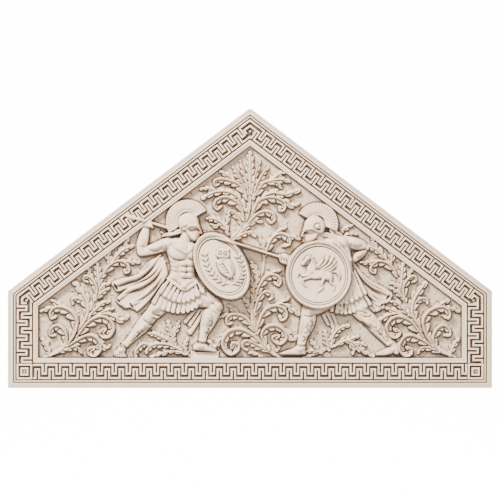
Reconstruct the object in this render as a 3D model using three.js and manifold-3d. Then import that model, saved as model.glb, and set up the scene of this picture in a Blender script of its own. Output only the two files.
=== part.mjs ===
// Pediment panel with two warriors among acanthus inside a meander frame.
// Millimetres, +Z up. The carved face looks towards -Y and the flat back lies on y = 0.

import * as THREE from 'three';
import { mergeVertices } from 'three/addons/utils/BufferGeometryUtils.js';
import Module from 'manifold-3d';

const wasm = await Module();
wasm.setup();

// ---- Driving dimensions ----
const panelWidth = 2420;
const panelHeight = 1395;
const eavesHeight = 485;
const apexFlat = 14;
const groundDepth = 80;

// Frame, measured square to each edge from the outside inwards
const fasciaWidth = 28;
const beadWidth = 8;
const keyBandWidth = 78;
const filletWidth = 24;
const grooveWidth = 4;

// Frame levels above the ground
const frameFloor = 24;
const fasciaRise = 36;
const beadRise = 38;
const filletRise = 34;

// Meander
const ribbonWidth = 13;
const keyGroove = 8;
const ribbonRise = 36;
const keyPeriod = 69;

// Carving
const leafRise = 24;
const stemRise = 20;
const shieldRise = 78;

// The carving is laid out in modules: the panel is 484 of them wide and 279 high, a figure 150 high
const module = Math.min(panelWidth / 484, panelHeight / 279);
const originHeight = panelHeight / 2;
const degree = Math.PI / 180;

// ---- Solids ----
const bodies = [];

function keep(positions, triangles) {
  let volume = 0;
  for (let i = 0; i < triangles.length; i += 3) {
    const [a, b, c] = [0, 1, 2].map((k) => new THREE.Vector3(...positions[triangles[i + k]]));
    volume += a.dot(b.cross(c));
  }
  const turned = volume < 0 ? triangles.slice().reverse() : triangles;
  const mesh = new wasm.Mesh({
    numProp: 3,
    vertProperties: new Float32Array(positions.flat()),
    triVerts: new Uint32Array(turned),
  });
  return new wasm.Manifold(mesh);
}

function fromGeometry(geometry) {
  geometry.deleteAttribute('normal');
  geometry.deleteAttribute('uv');
  const merged = mergeVertices(geometry, 1e-4);
  const at = merged.getAttribute('position');
  const positions = [];
  for (let i = 0; i < at.count; i += 1) positions.push([at.getX(i), at.getY(i), at.getZ(i)]);
  return keep(positions, Array.from(merged.index.array));
}

// A flat shape between two depths; its outline is in [x, z above the underside]
function prism(outline, from, to, hole) {
  const shape = new THREE.Shape(outline.map(([x, z]) => new THREE.Vector2(x, z)));
  if (hole) shape.holes.push(new THREE.Path(hole.map(([x, z]) => new THREE.Vector2(x, z))));
  const geometry = new THREE.ExtrudeGeometry(shape, { depth: to - from, bevelEnabled: false });
  geometry.translate(0, 0, from);
  geometry.rotateX(Math.PI / 2);
  geometry.translate(0, 0, -originHeight);
  return fromGeometry(geometry);
}

// A closed skin over rings of [x, z, rise above the ground]
function loft(rings) {
  const size = rings[0].length;
  const positions = [];
  const triangles = [];
  rings.flat().forEach(([x, z, rise]) => positions.push([x, -groundDepth - rise, z - originHeight]));
  for (let i = 0; i + 1 < rings.length; i += 1) {
    for (let j = 0; j < size; j += 1) {
      const a = i * size + j;
      const b = i * size + (j + 1) % size;
      triangles.push(a, b, a + size, b, b + size, a + size);
    }
  }
  const last = (rings.length - 1) * size;
  for (let j = 1; j + 1 < size; j += 1) {
    triangles.push(0, j + 1, j);
    triangles.push(last, last + j, last + j + 1);
  }
  return keep(positions, triangles);
}

// Headings along a path of [x, z, ...]
function headings(path) {
  return path.map((p, i) => {
    const before = path[Math.max(i - 1, 0)];
    const after = path[Math.min(i + 1, path.length - 1)];
    return Math.atan2(after[1] - before[1], after[0] - before[0]);
  });
}

// A roll along a path of [x, z, half width, rise of its foot], rounded or with a sharp back
const rounded = [[-1, 0], [-0.6, 0.8], [0.1, 1], [0.7, 0.7], [1, 0]];
const sharp = [[-1, 0], [0, 1], [1, 0]];

function roll(path, bulge, profile = rounded) {
  const turn = headings(path);
  return loft(path.map(([x, z, half, foot = 0], i) => {
    const across = [-Math.sin(turn[i]), Math.cos(turn[i])];
    const last = profile.length - 1;
    return profile.map(([side, up], k) => {
      const rise = k === 0 || k === last ? 0 : foot + up * half * bulge;
      return [x + across[0] * side * half, z + across[1] * side * half, rise];
    });
  }));
}

// A low dome on an oval foot
function dome([x, z], [halfX, halfZ], rise, sides = 6, tilt = 0, foot = 0) {
  const rings = [[1, foot], [0.9, foot + (rise - foot) * 0.65], [0.35, rise]];
  return loft(rings.map(([share, up]) => Array.from({ length: sides }, (_, j) => {
    const angle = 2 * Math.PI * j / sides;
    const a = halfX * share * Math.cos(angle);
    const b = halfZ * share * Math.sin(angle);
    return [x + a * Math.cos(tilt) - b * Math.sin(tilt), z + a * Math.sin(tilt) + b * Math.cos(tilt), up];
  })));
}

// ---- Slab and frame ----
const half = panelWidth / 2;
const rakeAngle = Math.atan2(panelHeight - eavesHeight, half - apexFlat / 2);
const pointHeight = panelHeight + apexFlat / 2 * Math.tan(rakeAngle);

// The panel's outline, set in square to its edges
function inset(by) {
  const x = half - by;
  const drop = by / Math.cos(rakeAngle);
  const eaves = pointHeight - drop - x * Math.tan(rakeAngle);
  return [[-x, by], [x, by], [x, eaves], [0, pointHeight - drop], [-x, eaves]];
}

function ring(outer, inner, rise) {
  return prism(inset(outer), groundDepth, groundDepth + rise, inset(inner));
}

const beadStart = fasciaWidth + grooveWidth;
const keyStart = beadStart + beadWidth + grooveWidth;
const filletStart = keyStart + keyBandWidth + grooveWidth;
const frameWidth = filletStart + filletWidth;

bodies.push(prism(inset(0), 0, groundDepth));
bodies.push(ring(0, frameWidth, frameFloor));
bodies.push(ring(0, fasciaWidth, fasciaRise));
bodies.push(ring(beadStart, beadStart + beadWidth, beadRise));
bodies.push(ring(filletStart, frameWidth, filletRise));
bodies.push(ring(frameWidth, frameWidth + filletWidth / 4, filletRise * 0.55));

// ---- Meander: V grooves in the key band leave two ribbons of locked square waves ----

// The two points at either side of each point of a path, mitred at its turns
function bothSides(path, reach) {
  return path.map((p, i) => {
    const before = path[i - 1] ?? [2 * p[0] - path[1][0], 2 * p[1] - path[1][1]];
    const after = path[i + 1] ?? [2 * p[0] - before[0], 2 * p[1] - before[1]];
    const first = Math.atan2(p[1] - before[1], p[0] - before[0]);
    const second = Math.atan2(after[1] - p[1], after[0] - p[0]);
    const bend = Math.atan2(Math.sin(second - first), Math.cos(second - first)) / 2;
    const out = reach / Math.cos(bend);
    const [dx, dz] = [-Math.sin(first + bend) * out, Math.cos(first + bend) * out];
    return [[p[0] + dx, p[1] + dz], [p[0] - dx, p[1] - dz]];
  });
}

const cuts = [];

// A groove that narrows to a line at the frame's floor
function groove(path) {
  const sides = bothSides(path, keyGroove / 2);
  cuts.push(loft(path.map((point, i) => {
    const [left, right] = sides[i];
    return [[...left, ribbonRise], [...right, ribbonRise], [...point, frameFloor]];
  })));
}

// A wedge-shaped slot that runs out to a point
function slot(path) {
  const [[left, right]] = bothSides(path, keyGroove / 2);
  const corners = [
    [...left, ribbonRise], [...right, ribbonRise],
    [...path[0], frameFloor], [...path[1], ribbonRise],
  ];
  const positions = corners.map(([x, z, rise]) => [x, -groundDepth - rise, z - originHeight]);
  cuts.push(keep(positions, [0, 1, 2, 0, 3, 1, 1, 3, 2, 2, 3, 0]));
}

const keyPitch = (keyBandWidth - ribbonWidth) / 3;
const lowWave = ribbonWidth / 2 + keyPitch / 2;
const highWave = lowWave + 2 * keyPitch;

// Cuts a run of the pattern, its outer edge on the line from a to b
function cutMeander(a, b) {
  const angle = Math.atan2(b[1] - a[1], b[0] - a[0]);
  const length = Math.hypot(b[0] - a[0], b[1] - a[1]);
  const place = ([along, across]) => [
    a[0] + along * Math.cos(angle) - across * Math.sin(angle),
    a[1] + along * Math.sin(angle) + across * Math.cos(angle),
  ];
  const count = Math.max(1, Math.round(length / keyPeriod));
  const step = length / count / 8;
  const over = grooveWidth / 2;
  const wave = [[0, lowWave]];
  for (let k = 0; k < count; k += 1) {
    const start = k * 8 * step;
    wave.push([start + 0.5 * step, lowWave], [start + 0.5 * step, highWave]);
    wave.push([start + 4.5 * step, highWave], [start + 4.5 * step, lowWave]);
    slot([[start + 2.5 * step, -over], [start + 2.5 * step, 2 * keyPitch]].map(place));
    const top = keyBandWidth + over;
    slot([[start + 6.5 * step, top], [start + 6.5 * step, keyBandWidth - 2 * keyPitch]].map(place));
  }
  wave.push([length, lowWave]);
  groove(wave.map(place));
  [0, length].forEach((at) => groove([[at, -over], [at, keyBandWidth + over]].map(place)));
}

// The square that fills each lower corner of the band, with a boss inside
function cornerBlock(sign) {
  const [x, z] = [sign * (half - keyStart - keyBandWidth / 2), keyStart + keyBandWidth / 2];
  const size = ribbonWidth * 1.3;
  [1, -1].forEach((turn) => {
    const path = [[-size, -size], [size, -size], [size, size]];
    groove(path.map(([u, v]) => [x + u * turn, z + v * turn]));
  });
}

bodies.push(ring(keyStart, keyStart + keyBandWidth, ribbonRise));

const outerLine = inset(keyStart);
const innerLine = inset(keyStart + keyBandWidth);
const foot = outerLine[0][1];
cutMeander([outerLine[0][0] + keyBandWidth, foot], [outerLine[1][0] - keyBandWidth, foot]);
cutMeander([outerLine[1][0], foot + keyBandWidth], [outerLine[1][0], innerLine[2][1]]);
cutMeander([outerLine[4][0], innerLine[4][1]], [outerLine[0][0], foot + keyBandWidth]);
cornerBlock(-1);
cornerBlock(1);

// The rakes' runs stop short of the mitres at the eaves and the apex
const rakeShort = keyBandWidth * 0.5;
const apexShort = keyBandWidth * Math.tan(rakeAngle);
const along = [Math.cos(rakeAngle), Math.sin(rakeAngle)];
const rakeRun = Math.hypot(outerLine[2][0], outerLine[3][1] - outerLine[2][1]);
const rakePoint = (sign, share) => [
  sign * (outerLine[2][0] - along[0] * share),
  outerLine[2][1] + along[1] * share,
];
cutMeander(rakePoint(1, rakeShort), rakePoint(1, rakeRun - apexShort));
cutMeander(rakePoint(-1, rakeRun - apexShort), rakePoint(-1, rakeShort));
[lowWave, highWave].forEach((across, i) => {
  const [, , , [, top]] = inset(keyStart + across);
  const reach = apexShort * (i ? 0.3 : 0.62);
  const low = top - reach * Math.tan(rakeAngle);
  groove([[-reach, low], [0, top], [reach, low]]);
});

// ---- Foliage ----

// A scroll's midrib, whose heading turns faster towards the tip
function scroll([x, z], heading, length, turn, gather, steps) {
  const path = [[x, z]];
  for (let i = 0; i < steps; i += 1) {
    const angle = heading + turn * ((i + 0.5) / steps) ** gather;
    const [lastX, lastZ] = path[i];
    path.push([lastX + length / steps * Math.cos(angle), lastZ + length / steps * Math.sin(angle)]);
  }
  return path;
}

// A leaf: sharp crest along the midrib and lobes that swell and pinch towards the tip
function leaf(path, width, rise) {
  const turn = headings(path);
  const steps = path.length - 1;
  const stride = Math.hypot(path[1][0] - path[0][0], path[1][1] - path[0][1]);
  return loft(path.map(([x, z], i) => {
    const share = i / steps;
    const lobe = i % 2 === 1 ? 1.1 : 0.62;
    const swell = 0.35 + 0.65 * Math.sin(Math.PI * Math.min(1, share * 1.1 + 0.12));
    const reach = width / 2 * swell * lobe;
    const bend = turn[Math.min(i + 1, steps)] - turn[Math.max(i - 1, 0)];
    const radius = 2 * stride / Math.max(0.02, Math.abs(Math.atan2(Math.sin(bend), Math.cos(bend))));
    const inner = Math.min(reach, 0.8 * radius);
    const leftReach = Math.sin(bend) > 0 ? inner : reach;
    const rightReach = Math.sin(bend) > 0 ? reach : inner;
    const across = [-Math.sin(turn[i]), Math.cos(turn[i])];
    const crest = rise * (0.75 + 0.25 * Math.sin(Math.PI * share));
    return [[leftReach, 0], [0, crest], [-rightReach, 0]]
      .map(([side, up]) => [x + across[0] * side, z + across[1] * side, up]);
  }));
}

// Each plant, in modules: the points of its stem, the stem's half width at root and tip, and its leaves as
// [share along the stem or own root, angle off the stem or own heading, length, turn, gather, width]
const cornerPlant = {
  stem: [
    [-205, 31], [-190, 38], [-178, 48], [-168, 62], [-160, 76], [-153, 91], [-150, 103], [-146, 116],
    [-140, 126], [-132, 134],
  ],
  girth: [4.8, 2],
  leaves: [
    [0.141, 34, 47, 286, 1.95, 10],
    [0.178, 23, 74, 272, 2.12, 12],
    [0.336, -17, 53, 99, 0.78, 10],
    [0.786, -13, 46, -226, 2.24, 10],
    [0.286, -4, 77, -359, 2.31, 13],
    [[-158, 69], 21, 36, -30, 0.6, 10],
    [0.178, -6, 70, -364, 2.32, 13],
    [0.469, -18, 25, -20, 1.68, 9],
  ],
};
const topPlant = {
  stem: [[-24, 145], [-18, 149], [-10, 158], [-4, 170], [-1, 183], [0, 198], [0, 228]],
  girth: [3.6, 1.2],
  leaves: [
    [0.607, 2, 44, 1, 1.3, 13],
    [0.607, 38, 32, -17, 1.3, 8],
    [0.607, -35, 31, 15, 1.3, 8],
    [0.607, 46, 49, 159, 3.2, 10],
    [0.468, 38, 54, 104, 1.15, 10],
    [0.377, 45, 53, 206, 2.3, 11],
    [0.607, -29, 46, -77, 1.15, 10],
    [[4, 180], 73, 49, -83, 0.6, 10],
    [0.44, -36, 56, -216, 2.63, 11],
    [0.322, -32, 48, -291, 3.06, 10],
  ],
};
const centrePlant = {
  stem: [[28, 31], [15, 41], [6, 53], [3, 68], [3, 88], [6, 103], [12, 116], [14, 133], [14, 145]],
  girth: [4.8, 1.4],
  leaves: [
    [0.391, 1, 24, 47, 1.29, 8],
    [0.309, 27, 46, 226, 2.51, 10],
    [0.138, 5, 90, 429, 2.25, 13],
    [0.114, 6, 37, 218, 2.83, 9],
    [0.565, -17, 51, -268, 2.85, 10],
    [0.294, -35, 61, -243, 2.38, 11],
    [0.123, -34, 68, -397, 1.55, 11],
    [0.947, -27, 47, -242, 2.22, 9],
  ],
};
const leftFootPlant = {
  stem: [[-59, 31], [-72, 40], [-80, 47], [-85, 56], [-87, 65]],
  girth: [3.2, 1.2],
  leaves: [
    [0.453, -42, 23, 14, 1.3, 9],
    [0.561, 19, 22, 19, 1.8, 9],
    [0.281, 11, 38, 89, 2.1, 10],
  ],
};
const rightFootPlant = {
  stem: [[55, 31], [70, 36], [82, 43], [95, 50]],
  girth: [3.2, 1.2],
  leaves: [
    [0.532, 63, 15, 4, 1.3, 8],
    [0.668, 65, 28, -104, 1.39, 8],
    [0.734, 7, 42, -88, 0.6, 10],
  ],
};

function plant({ stem, girth, leaves }, mirror) {
  const place = ([x, z]) => [mirror * x * module, z * module];
  const curve = new THREE.SplineCurve(stem.map(([x, z]) => new THREE.Vector2(x, z)));
  const count = Math.max(3, Math.round(curve.getLength() / 22));
  const path = Array.from({ length: count + 1 }, (_, i) => {
    const at = curve.getPointAt(i / count);
    const grown = girth[0] + (girth[1] - girth[0]) * i / count;
    return [...place([at.x, at.y]), grown * module];
  });
  bodies.push(roll(path, stemRise / (girth[0] * module), sharp));
  leaves.forEach(([from, angle, length, turn, gather, width]) => {
    let root = from;
    let heading = angle * degree;
    if (!Array.isArray(from)) {
      const at = curve.getPointAt(from);
      const tangent = curve.getTangentAt(from);
      root = [at.x, at.y];
      heading += Math.atan2(tangent.y, tangent.x);
    }
    const steps = Math.min(7, Math.max(3, Math.round(length / 9)));
    const midrib = scroll(root, heading, length, turn * degree, gather, steps).map(place);
    bodies.push(leaf(midrib, width * module, leafRise));
  });
}

plant(cornerPlant, 1);
plant(cornerPlant, -1);
plant(topPlant, 1);
plant(centrePlant, 1);
plant(leftFootPlant, 1);
plant(rightFootPlant, 1);

// ---- Figures ----

// Carries modules, measured from a figure's belt or a shield's centre, to the panel
const carry = ([fromX, fromZ]) => ([x, z, ...rest]) => [
  (fromX + x) * module,
  (fromZ + z) * module,
  ...rest.map((value) => value * module),
];

// A point at a share along a path
function pointAlong(path, share) {
  const reach = Math.min(share, 0.9999) * (path.length - 1);
  const i = Math.floor(reach);
  return path[i].map((value, k) => value + (path[i + 1][k] - value) * (reach - i));
}

// A row of leather straps hanging from one line down to another
function straps(from, to, count, rise) {
  for (let i = 0; i < count; i += 1) {
    const top = pointAlong(from, (i + 0.5) / count);
    const end = pointAlong(to, (i + 0.5) / count);
    const room = Math.hypot(to[to.length - 1][0] - to[0][0], to[to.length - 1][1] - to[0][1]) / count;
    bodies.push(roll([[...top, room * 0.3, rise], [...end, room * 0.5, rise * 0.8]], 0.7, sharp));
  }
}

// A horsehair crest: a bent roll with grooves across it
function crest([x, z], radius, from, to, ribs, rise) {
  const path = Array.from({ length: ribs * 2 + 1 }, (_, i) => {
    const angle = (from + (to - from) * i / (ribs * 2)) * degree;
    const groove = i % 2 ? 0.5 : 1;
    return [x + radius * Math.cos(angle), z + radius * Math.sin(angle), 0.33 * radius, rise * groove];
  });
  return roll(path, 0.45, [[-1, 0], [-0.9, 1], [0.9, 1], [1, 0]]);
}

// A round shield turned as a lathe would, then pressed to an oval and tilted
function shield([x, z], [long, short], tilt, rise) {
  const level = (share) => groundDepth + rise * share;
  const profile = [
    [0, groundDepth], [1, groundDepth], [1, level(0.72)],
    [0.97, level(1)], [0.85, level(0.84)], [0, level(0.92)],
  ];
  const lathe = new THREE.LatheGeometry(profile.map(([r, d]) => new THREE.Vector2(r, d)), 24);
  lathe.rotateX(Math.PI);
  lathe.scale(long, 1, short);
  lathe.rotateY(-tilt);
  lathe.translate(x, 0, z - originHeight);
  return fromGeometry(lathe);
}

// Rolls hold their bulge, then [x, z, half width, rise of the foot]
const leftWarrior = {
  belt: [-65, 104],
  rolls: [
    [
      0.6, [-1, 45, 6, 3], [-4, 37, 14, 3], [-5, 29, 14.5, 3.4], [-4, 20, 13.4, 3], [-2.5, 11, 13, 3],
      [-2, 3, 15, 3], [-1, -5, 16, 3],
    ],
    [0.9, [2, 51, 5, 3], [1, 41, 5.6, 4]],
    [1.1, [-13, 41, 6.6, 1], [-23, 38.5, 6.4, 1], [-34, 34.5, 5.2, 1], [-44, 31.5, 4.4, 1]],
    [1.1, [-44, 31, 4.2, 1], [-42.5, 40, 5, 1], [-40, 49, 4.4, 1], [-37.5, 57, 3.6, 1]],
    [
      1.1, [-59.5, 68.6, 0.6, 2], [-56, 67.6, 2.2, 2], [-49, 65.6, 1.2, 2], [-29, 59.8, 1.1, 3],
      [-5, 52.6, 1.1, 4],
    ],
    [
      0.8, [-17, 6.5, 2.6, 9], [-9, 2, 2.6, 10.5], [-1, -2.8, 2.8, 11.5], [6, -1.8, 2.6, 11],
      [13, 3, 2.4, 9],
    ],
    [1, [-20, 29, 2, 1], [-32, 21.5, 3, 1], [-43, 13, 3, 1], [-51, 5, 2.4, 0.5]],
    [
      1.1, [-18, 18, 4, 2], [-35, 5, 4.6, 1.6], [-50, 0, 3.8, 1.2], [-62, -2.3, 4.2, 1.2],
      [-70.5, -3, 4.8, 1.2],
    ],
    [1.1, [-24, 9, 3, 2], [-39, -3.5, 3.8, 1.4], [-55, -12, 4.4, 1], [-67, -15.6, 5.4, 1]],
    [1.1, [-25, 3, 3, 2], [-38, -8, 4.2, 1], [-46, -17, 5, 1], [-51, -22, 5, 1]],
    [1, [16, -22, 5, 1], [10, -32, 5, 1], [4, -41, 4.4, 1], [1, -48, 3.4, 1]],
    [
      0.9, [-23, -17, 9, 1], [-32, -27, 8.6, 1], [-39, -35, 8, 1.4], [-47, -43.5, 7, 0.6],
      [-54.5, -52, 5, 0.4], [-61, -60, 3.6, 0.4],
    ],
    [1, [-63, -58, 4.2, 0.5], [-64.5, -65.5, 5.4, 0.5], [-65.4, -73, 6.4, 0.3]],
    [0.85, [17, -13, 9, 3], [26, -19, 9.6, 3], [32, -24.5, 7.4, 3]],
    [1, [31, -24, 8, 1], [26.5, -34, 8.2, 1], [22, -44, 6, 0.8], [18, -52.5, 4.2, 0.8], [16, -59, 4.6, 1]],
    [1.1, [11, -61.5, 4.8, 1.4], [19, -62.6, 4, 1.2], [26, -64.6, 2.6, 1], [33, -66.2, 1.2, 0.8]],
    [0.9, [14, 56.4, 1.2, 9], [5, 58.6, 1.3, 11], [-3, 56.6, 1.2, 9]],
    [1, [-11.5, 50.5, 1.4, 5], [-7, 53, 2.4, 6], [-1, 50.4, 1.8, 6]],
    [0.8, [8, 55, 2.6, 8], [6.5, 49, 3, 8], [10, 42.5, 1.4, 7]],
  ],
  domes: [
    [[-18, 40.5], [8.4, 7.4], 10], [[-37, 61.4], [5.2, 5.4], 7.5], [[5, 56], [10, 12], 10],
    [[3, 60.5], [10.8, 9.4], 12.5, 8], [[-6.5, 31.4], [8.4, 7], 13.4], [[6, 31.4], [5.4, 6.6], 13],
    [[2, 15], [5.6, 7.4], 12.6], [[0, -1.4], [3.4, 3.2], 15],
    [[-37, -34.4], [6.4, 6.8], 10.5], [[31.6, -23], [6.6, 6.4], 12.4],
  ],
  crestArc: [[3, 62], 16.2, 36, 214, 7],
  skirt: [
    [
      [[-22, 0], [-9, -8], [1, -10], [15, -3]],
      [[-35, -16], [-23, -22], [-9, -28], [2, -27.6], [12.5, -22], [25, -11]], 9, 5,
    ],
    [
      [[-18, 4], [-9, -0.6], [1, -4], [13, 2]],
      [[-27, -7.5], [-14, -13], [-2, -17.5], [7, -15.5], [15, -6]], 6, 8,
    ],
  ],
  shieldAt: [36.6, 18],
  shieldSize: [36.2, 24.6, -58],
};
const rightWarrior = {
  belt: [95, 104],
  rolls: [
    [
      0.6, [-23, 46.5, 5, 3], [-10, 38, 15.6, 3], [-7, 27, 14.4, 3], [-6, 17, 12.4, 3], [-3.5, 7, 12, 3],
      [-2, -3, 13.6, 3],
    ],
    [0.9, [-32, 50, 5, 3], [-27, 41, 6, 4]],
    [1.1, [2, 41.4, 6.4, 1], [12, 40, 5.6, 1], [21, 35.6, 4.6, 1]],
    [1.1, [21.6, 36.4, 4.4, 1], [16, 28, 4.4, 1], [10.6, 21.6, 3.8, 1]],
    [1.1, [-43, 22, 4, 2], [-52, 23, 4.4, 1.4], [-60, 25, 4.6, 1]],
    [0.7, [-11, 45, 1.4, 11], [0, 32, 1.4, 11.5], [5.5, 18, 1.3, 8]],
    [0.8, [-14, 0, 2.6, 9], [-4, -3, 2.8, 10.5], [5, -1, 2.6, 9.6], [11.5, 4, 2.4, 7]],
    [1.1, [5, 20, 3.4, 2], [16, 7, 4, 1.6], [27, -2.6, 4.2, 1.2], [37, -7.6, 4.2, 1.2], [44.4, -13, 4, 1]],
    [1.1, [7, 9, 3.6, 2], [19, -5, 4.4, 1.4], [30, -14, 4.6, 1], [38, -20.6, 4.2, 1]],
    [1.1, [7, -3, 3.6, 2], [17, -15, 4, 1], [26, -22, 3.8, 1], [34, -24.6, 2.4, 0.8]],
    [1, [-19, -25, 7, 1], [-13, -35, 6, 1], [-11, -45.6, 3, 0.6]],
    [0.9, [-16, -19, 8, 3], [-26, -23.6, 8, 3], [-35, -28, 7.6, 2.6]],
    [
      1, [-36.4, -25, 7.4, 1], [-36.4, -35, 7.6, 1], [-39.2, -45, 6.8, 0.8], [-42.4, -54.6, 4.8, 0.8],
      [-43.6, -61, 4.6, 1],
    ],
    [1.1, [-41.6, -65, 4.6, 1.4], [-49, -65.4, 4, 1.2], [-56, -67.4, 2.8, 1], [-65, -69.4, 1.4, 0.6]],
    [
      0.9, [12, -19, 9.4, 1], [19.6, -31, 8.6, 1], [26, -39.6, 8.2, 1.4], [34, -48.4, 7, 0.8],
      [42, -57.4, 4.8, 0.5], [47, -61.6, 4, 0.5],
    ],
    [1.1, [52.4, -64.6, 4.4, 0.8], [44, -67, 4.2, 0.8], [35, -69.6, 2.8, 0.6], [27.4, -71.2, 1.4, 0.4]],
    [0.9, [-41.4, 52.4, 1.1, 9], [-34, 55.4, 1.3, 11], [-25, 53.6, 1.2, 9.6]],
    [1, [-29, 47.4, 1.6, 6], [-21, 50, 2.8, 6.6], [-12, 47.6, 1.8, 4.6]],
    [0.8, [-33, 51.4, 2.8, 8], [-29.4, 47.4, 3.2, 8], [-35, 44, 1.4, 7]],
    [0.9, [-9, 55, 4.4, 3], [-5, 50.4, 3.2, 2], [1, 48.4, 1.8, 1.4]],
  ],
  domes: [
    [[5, 41.4], [8, 7], 10], [[-60.6, 25], [6.6, 5.2], 9], [[-32.4, 53], [9.6, 12], 10],
    [[-30.4, 56.8], [10.8, 9.8], 12.5, 8], [[-37, -28.6], [6.4, 6], 11],
    [[27, -38.6], [6.4, 6.6], 10.5], [[-15, 30], [7, 9], 12.6], [[-0.4, 33], [5.6, 8], 12],
  ],
  crestArc: [[-28.5, 59], 16.2, 150, -18, 7],
  skirt: [
    [
      [[-15, -6], [-5, -9], [5, -7], [14, 0]],
      [[-21, -24], [-7, -28.4], [3, -29.4], [15, -25.4], [27, -20]], 8, 5,
    ],
    [[[-13, -1], [-4, -4], [5, -2], [12.6, 3.4]], [[-17, -16], [0, -17.4], [12, -13.6], [22, -9]], 6, 8],
  ],
  shieldAt: [-26.5, 9.5],
  shieldSize: [34, 32.5, 90],
};

const owl = {
  rolls: [
    [0.8, [-17.6, 11, 0.8], [-13.6, 1, 1.2], [-7.6, -8, 1.2], [0.4, -15, 1], [9.4, -18.4, 0.7]],
    [0.8, [17, 8, 0.8], [21, 0, 1.2], [21, -8, 1.2], [16.4, -14.6, 1], [9.4, -18.4, 0.7]],
    [0.8, [-2.6, -5, 1.6], [4.4, -11, 1.4], [14.4, -12, 1]],
  ],
  domes: [
    [[4, 0], [11.6, 7.6], 2.4, -62], [[1.4, 13], [6.4, 5.8], 3, -10],
  ],
};
const horse = {
  rolls: [
    [0.8, [-9.5, 0.5, 4], [1.5, -0.5, 4.4], [13.5, -0.9, 4]],
    [0.8, [-5.5, 2.5, 3.8], [-7.5, 9.5, 3], [-10.5, 14.9, 2.4], [-11.9, 18.5, 0.8]],
    [0.8, [-10.1, 14.5, 2.2], [-14.9, 11.9, 1.8], [-17.9, 10.1, 1.2]],
    [0.8, [-9.5, 0.5, 2], [-15.5, -1.1, 1.5], [-18.9, 3.5, 1]],
    [0.8, [12.5, -1.5, 2.8], [13.5, -10.5, 1.7], [7.5, -15.5, 1.1]],
    [0.8, [9.5, -2.5, 2.8], [6.5, -12.5, 1.7], [-2.5, -19.1, 1.1]],
    [0.8, [15.1, 0.9, 1.6], [20.1, 1.5, 1.8], [20.5, -8.5, 0.8]],
    [0.8, [-1.9, 4.5, 1.8], [0.5, 11.9, 1.6], [1.1, 18.9, 0.8]],
    [0.8, [2.5, 3.9, 1.8], [10.1, 11.1, 1.6], [16.1, 15.9, 0.8]],
  ],
  domes: [],
};

const crossSpear = [
  [-134, 47.4, 0.8, 19.5], [-109, 40.8, 1.4, 19.5],
  [-95, 36.6, 1.5, 14], [-69, 28, 1.5, 7],
];
const footStep = [-59, -31, 36.4];


function figure({ belt, rolls, domes, crestArc, skirt }) {
  const place = carry(belt);
  rolls.forEach(([bulge, ...path]) => {
    const slender = Math.max(...path.map((point) => point[2])) < 3;
    bodies.push(roll(path.map(place), bulge, slender ? sharp : rounded));
  });
  domes.forEach(([at, size, rise, sides = 6]) => {
    bodies.push(dome(place(at), size.map((value) => value * module), rise * module, sides));
  });
  const [hub, radius, from, to, ribs] = crestArc;
  bodies.push(crest(place(hub), radius * module, from, to, ribs, 3 * module));
  skirt.forEach(([top, hem, count, rise]) => straps(top.map(place), hem.map(place), count, rise * module));
}

figure(leftWarrior);
figure(rightWarrior);

[leftWarrior, rightWarrior].forEach(({ belt, shieldAt, shieldSize }) => {
  const [long, short, tilt] = shieldSize;
  const at = carry(belt)(shieldAt);
  bodies.push(shield(at, [long * module, short * module], tilt * degree, shieldRise));
});

// The shields' devices, in modules from the shield's centre, raised on its disc
function device(at, rolls, domes) {
  const place = carry(at);
  rolls.forEach(([bulge, ...path]) => {
    bodies.push(roll(path.map(([x, z, w]) => [...place([x, z, w]), shieldRise * 0.86]), bulge, sharp));
  });
  domes.forEach(([point, size, rise, tilt]) => {
    const spread = size.map((value) => value * module);
    bodies.push(dome(place(point), spread, shieldRise + rise * module, 6, tilt * degree, shieldRise * 0.7));
  });
}

const shieldCentre = ({ belt, shieldAt }) => [belt[0] + shieldAt[0], belt[1] + shieldAt[1]];
device(shieldCentre(leftWarrior), owl.rolls, owl.domes);
device(shieldCentre(rightWarrior), horse.rolls, horse.domes);

// The spear held across the left shield, and the step under the left warrior's foot
bodies.push(roll(crossSpear.map(carry(rightWarrior.belt)), 1.2, sharp));
const [stepLeft, stepRight, stepTop] = footStep.map((value) => value * module);
const stepFoot = frameWidth;
bodies.push(prism(
  [[stepLeft, stepFoot], [stepRight, stepFoot], [stepRight, stepTop], [stepLeft, stepTop]],
  groundDepth,
  groundDepth + filletRise,
));

// ---- Panel ----
let stone = bodies[0];
bodies.slice(1).forEach((body) => {
  stone = stone.add(body);
});
cuts.forEach((cut) => {
  stone = stone.subtract(cut);
});

// Everything stays inside the outline, whose point is blunted
const cutAway = panelWidth;
const outside = [
  [-cutAway, -cutAway], [cutAway, -cutAway],
  [cutAway, cutAway * 2], [-cutAway, cutAway * 2],
];
const [lowLeft, lowRight, eavesRight, , eavesLeft] = inset(0);
const trimmed = [
  lowLeft, lowRight, eavesRight,
  [apexFlat / 2, panelHeight], [-apexFlat / 2, panelHeight],
  eavesLeft,
];
stone = stone.subtract(prism(outside, -groundDepth, groundDepth * 4, trimmed));

const result = stone.getMesh();

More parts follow.
